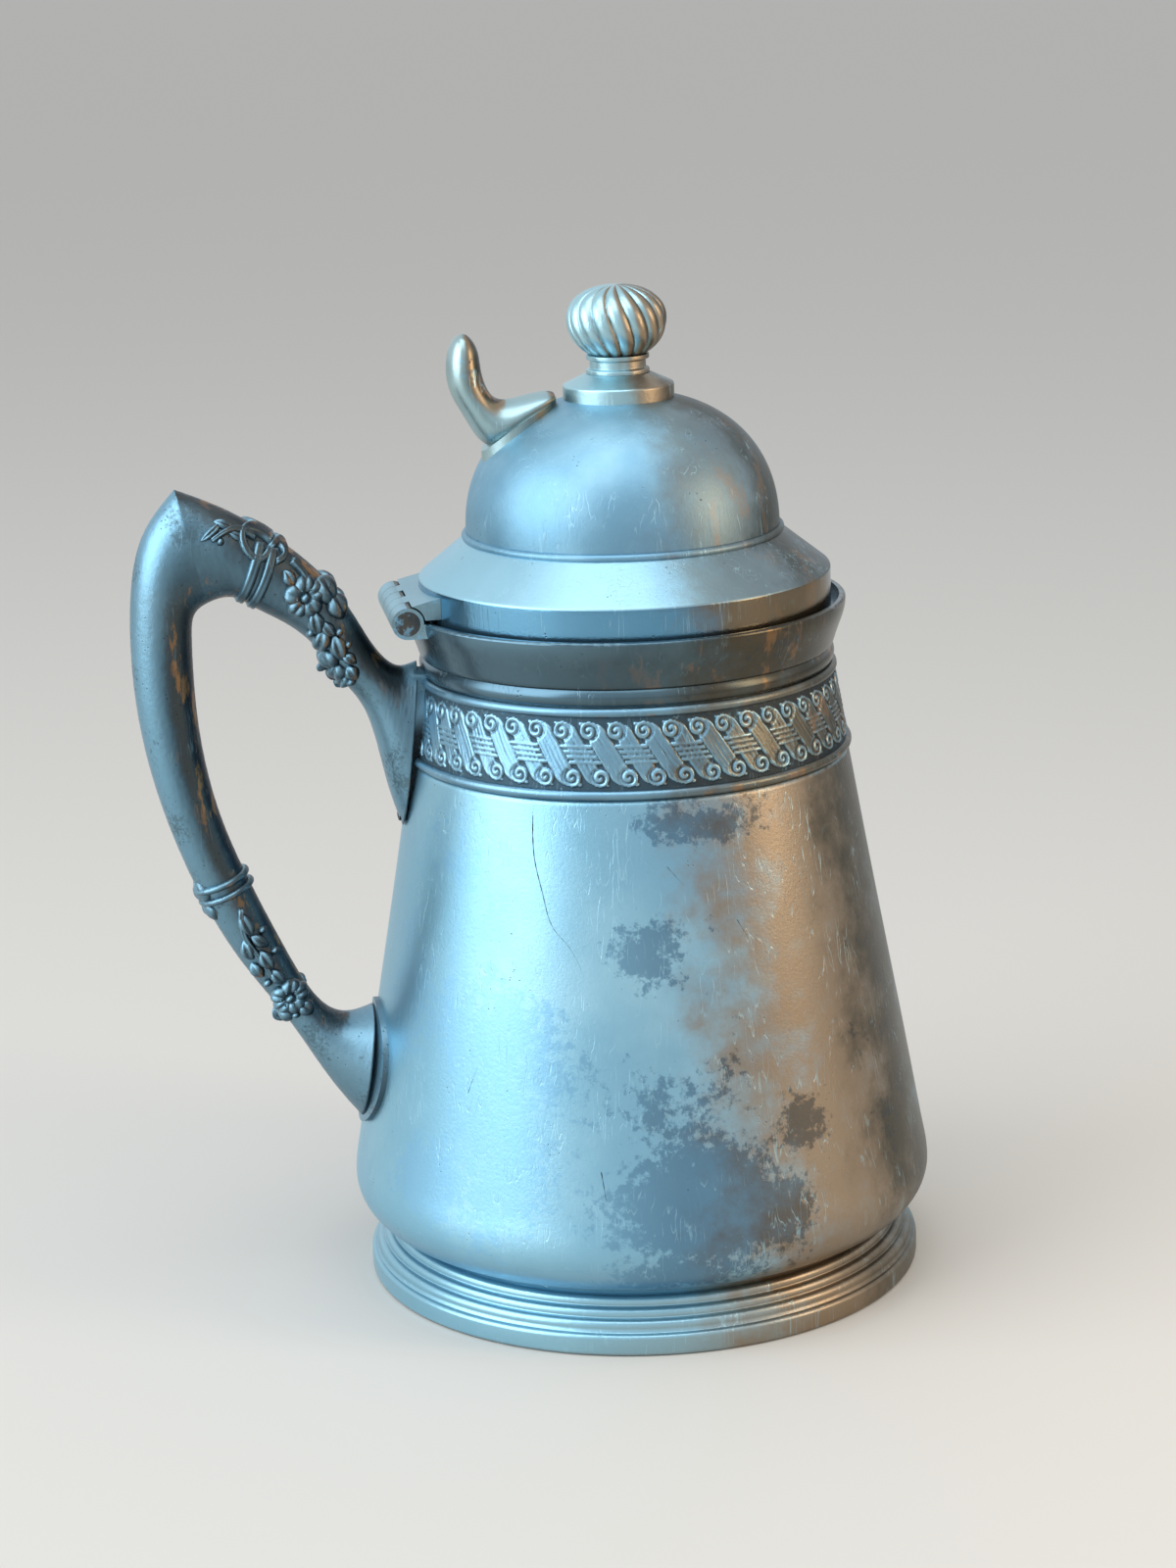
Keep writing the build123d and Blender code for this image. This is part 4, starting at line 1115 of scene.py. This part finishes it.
stage = {"floorSize": 12.0, "floor": srgb(214, 210, 204), "world": (0.78, 0.81, 0.84, 1.0), "fill": 0.75}


def addFloor():
    size = stage["floorSize"]
    mesh = bpy.data.meshes.new("floor")
    corners = [(-size, -size, 0), (size, -size, 0), (size, size, 0), (-size, size, 0)]
    mesh.from_pydata(corners, [], [(0, 1, 2, 3)])
    material = bpy.data.materials.new("paleFloor")
    material.use_nodes = True
    shader = material.node_tree.nodes["Principled BSDF"]
    shader.inputs["Base Color"].default_value = stage["floor"]
    shader.inputs["Roughness"].default_value = 0.7
    mesh.materials.append(material)
    floor = inScene("floor", mesh)


def addWorld():
    # the camera and the metal see the world at strength 1, and it lights the rest at the fill
    world = bpy.data.worlds.new("studio")
    bpy.context.scene.world = world
    world.use_nodes = True
    tree = world.node_tree
    tree.nodes.clear()
    rays = tree.nodes.new("ShaderNodeLightPath").outputs
    mirrors = calc("MAXIMUM", rays["Is Glossy Ray"], rays["Is Transmission Ray"])
    seen = calc("MAXIMUM", rays["Is Camera Ray"], mirrors)
    strength = plus(stage["fill"], times(seen, 1 - stage["fill"]))
    back = put(tree, "ShaderNodeBackground", Color=stage["world"], Strength=strength)
    put(tree, "ShaderNodeOutputWorld", Surface=back.outputs[0])


lamps = [
    # name, place, width and height, power, colour: each points at the middle of the pitcher
    ("window", (-0.95, -0.3, 0.5), (1.0, 1.0), 8.0, (0.88, 0.95, 1.0)),
    ("top", (-0.1, -0.25, 0.95), (0.8, 0.8), 3.2, (0.94, 0.98, 1.0)),
    ("roomSide", (0.40, -0.22, 0.24), (0.14, 0.3), 0.75, (1.0, 0.8, 0.54)),
]
target = Vector((-0.015, 0.0, 0.085))


def addLamps():
    for name, place, (wide, tall), power, colour in lamps:
        light = bpy.data.lights.new(name, "AREA")
        light.shape, light.size, light.size_y = "RECTANGLE", wide, tall
        light.energy, light.color = power, colour
        lamp = inScene(name, light)
        lamp.location = place
        lamp.rotation_mode = "QUATERNION"
        lamp.rotation_quaternion = (target - Vector(place)).to_track_quat("-Z", "Y")


camera = {"distance": 0.607114, "height": 0.245712, "azimuth": math.radians(-9), "pitch": 0.2537967,
          "yaw": -0.0124046, "roll": math.radians(-1.9), "lens": 81.0, "sensor": 36, "clip": 0.01}


def addCamera():
    # looks along its pitch and yaw in a frame turned by the azimuth, then rolls about its own axis
    c = camera
    turnC, yawC, rollC, level = (math.cos(c[key]) for key in ("azimuth", "yaw", "roll", "pitch"))
    turnS, yawS, rollS, drop = (math.sin(c[key]) for key in ("azimuth", "yaw", "roll", "pitch"))
    turn = np.array([[turnC, -turnS, 0], [turnS, turnC, 0], [0, 0, 1]])
    ahead = np.array([yawS * level, yawC * level, -drop])
    right = np.array([yawC, -yawS, 0])
    up = np.cross(right, ahead)
    right, up = rollC * right + rollS * up, -rollS * right + rollC * up
    where = turn @ np.array([0, -c["distance"], c["height"]])
    matrix = np.eye(4)
    matrix[:3] = np.stack([turn @ right, turn @ up, -(turn @ ahead), where], axis=1)
    view = bpy.data.cameras.new("view")
    view.lens, view.sensor_width, view.clip_start = c["lens"], c["sensor"], c["clip"]
    eye = inScene("view", view)
    eye.matrix_world = Matrix(matrix.tolist())
    bpy.context.scene.camera = eye


addFloor()
addWorld()
addLamps()
addCamera()
bpy.context.scene.view_settings.view_transform = "Standard"
print("stage set")

bpy.context.view_layer.update()
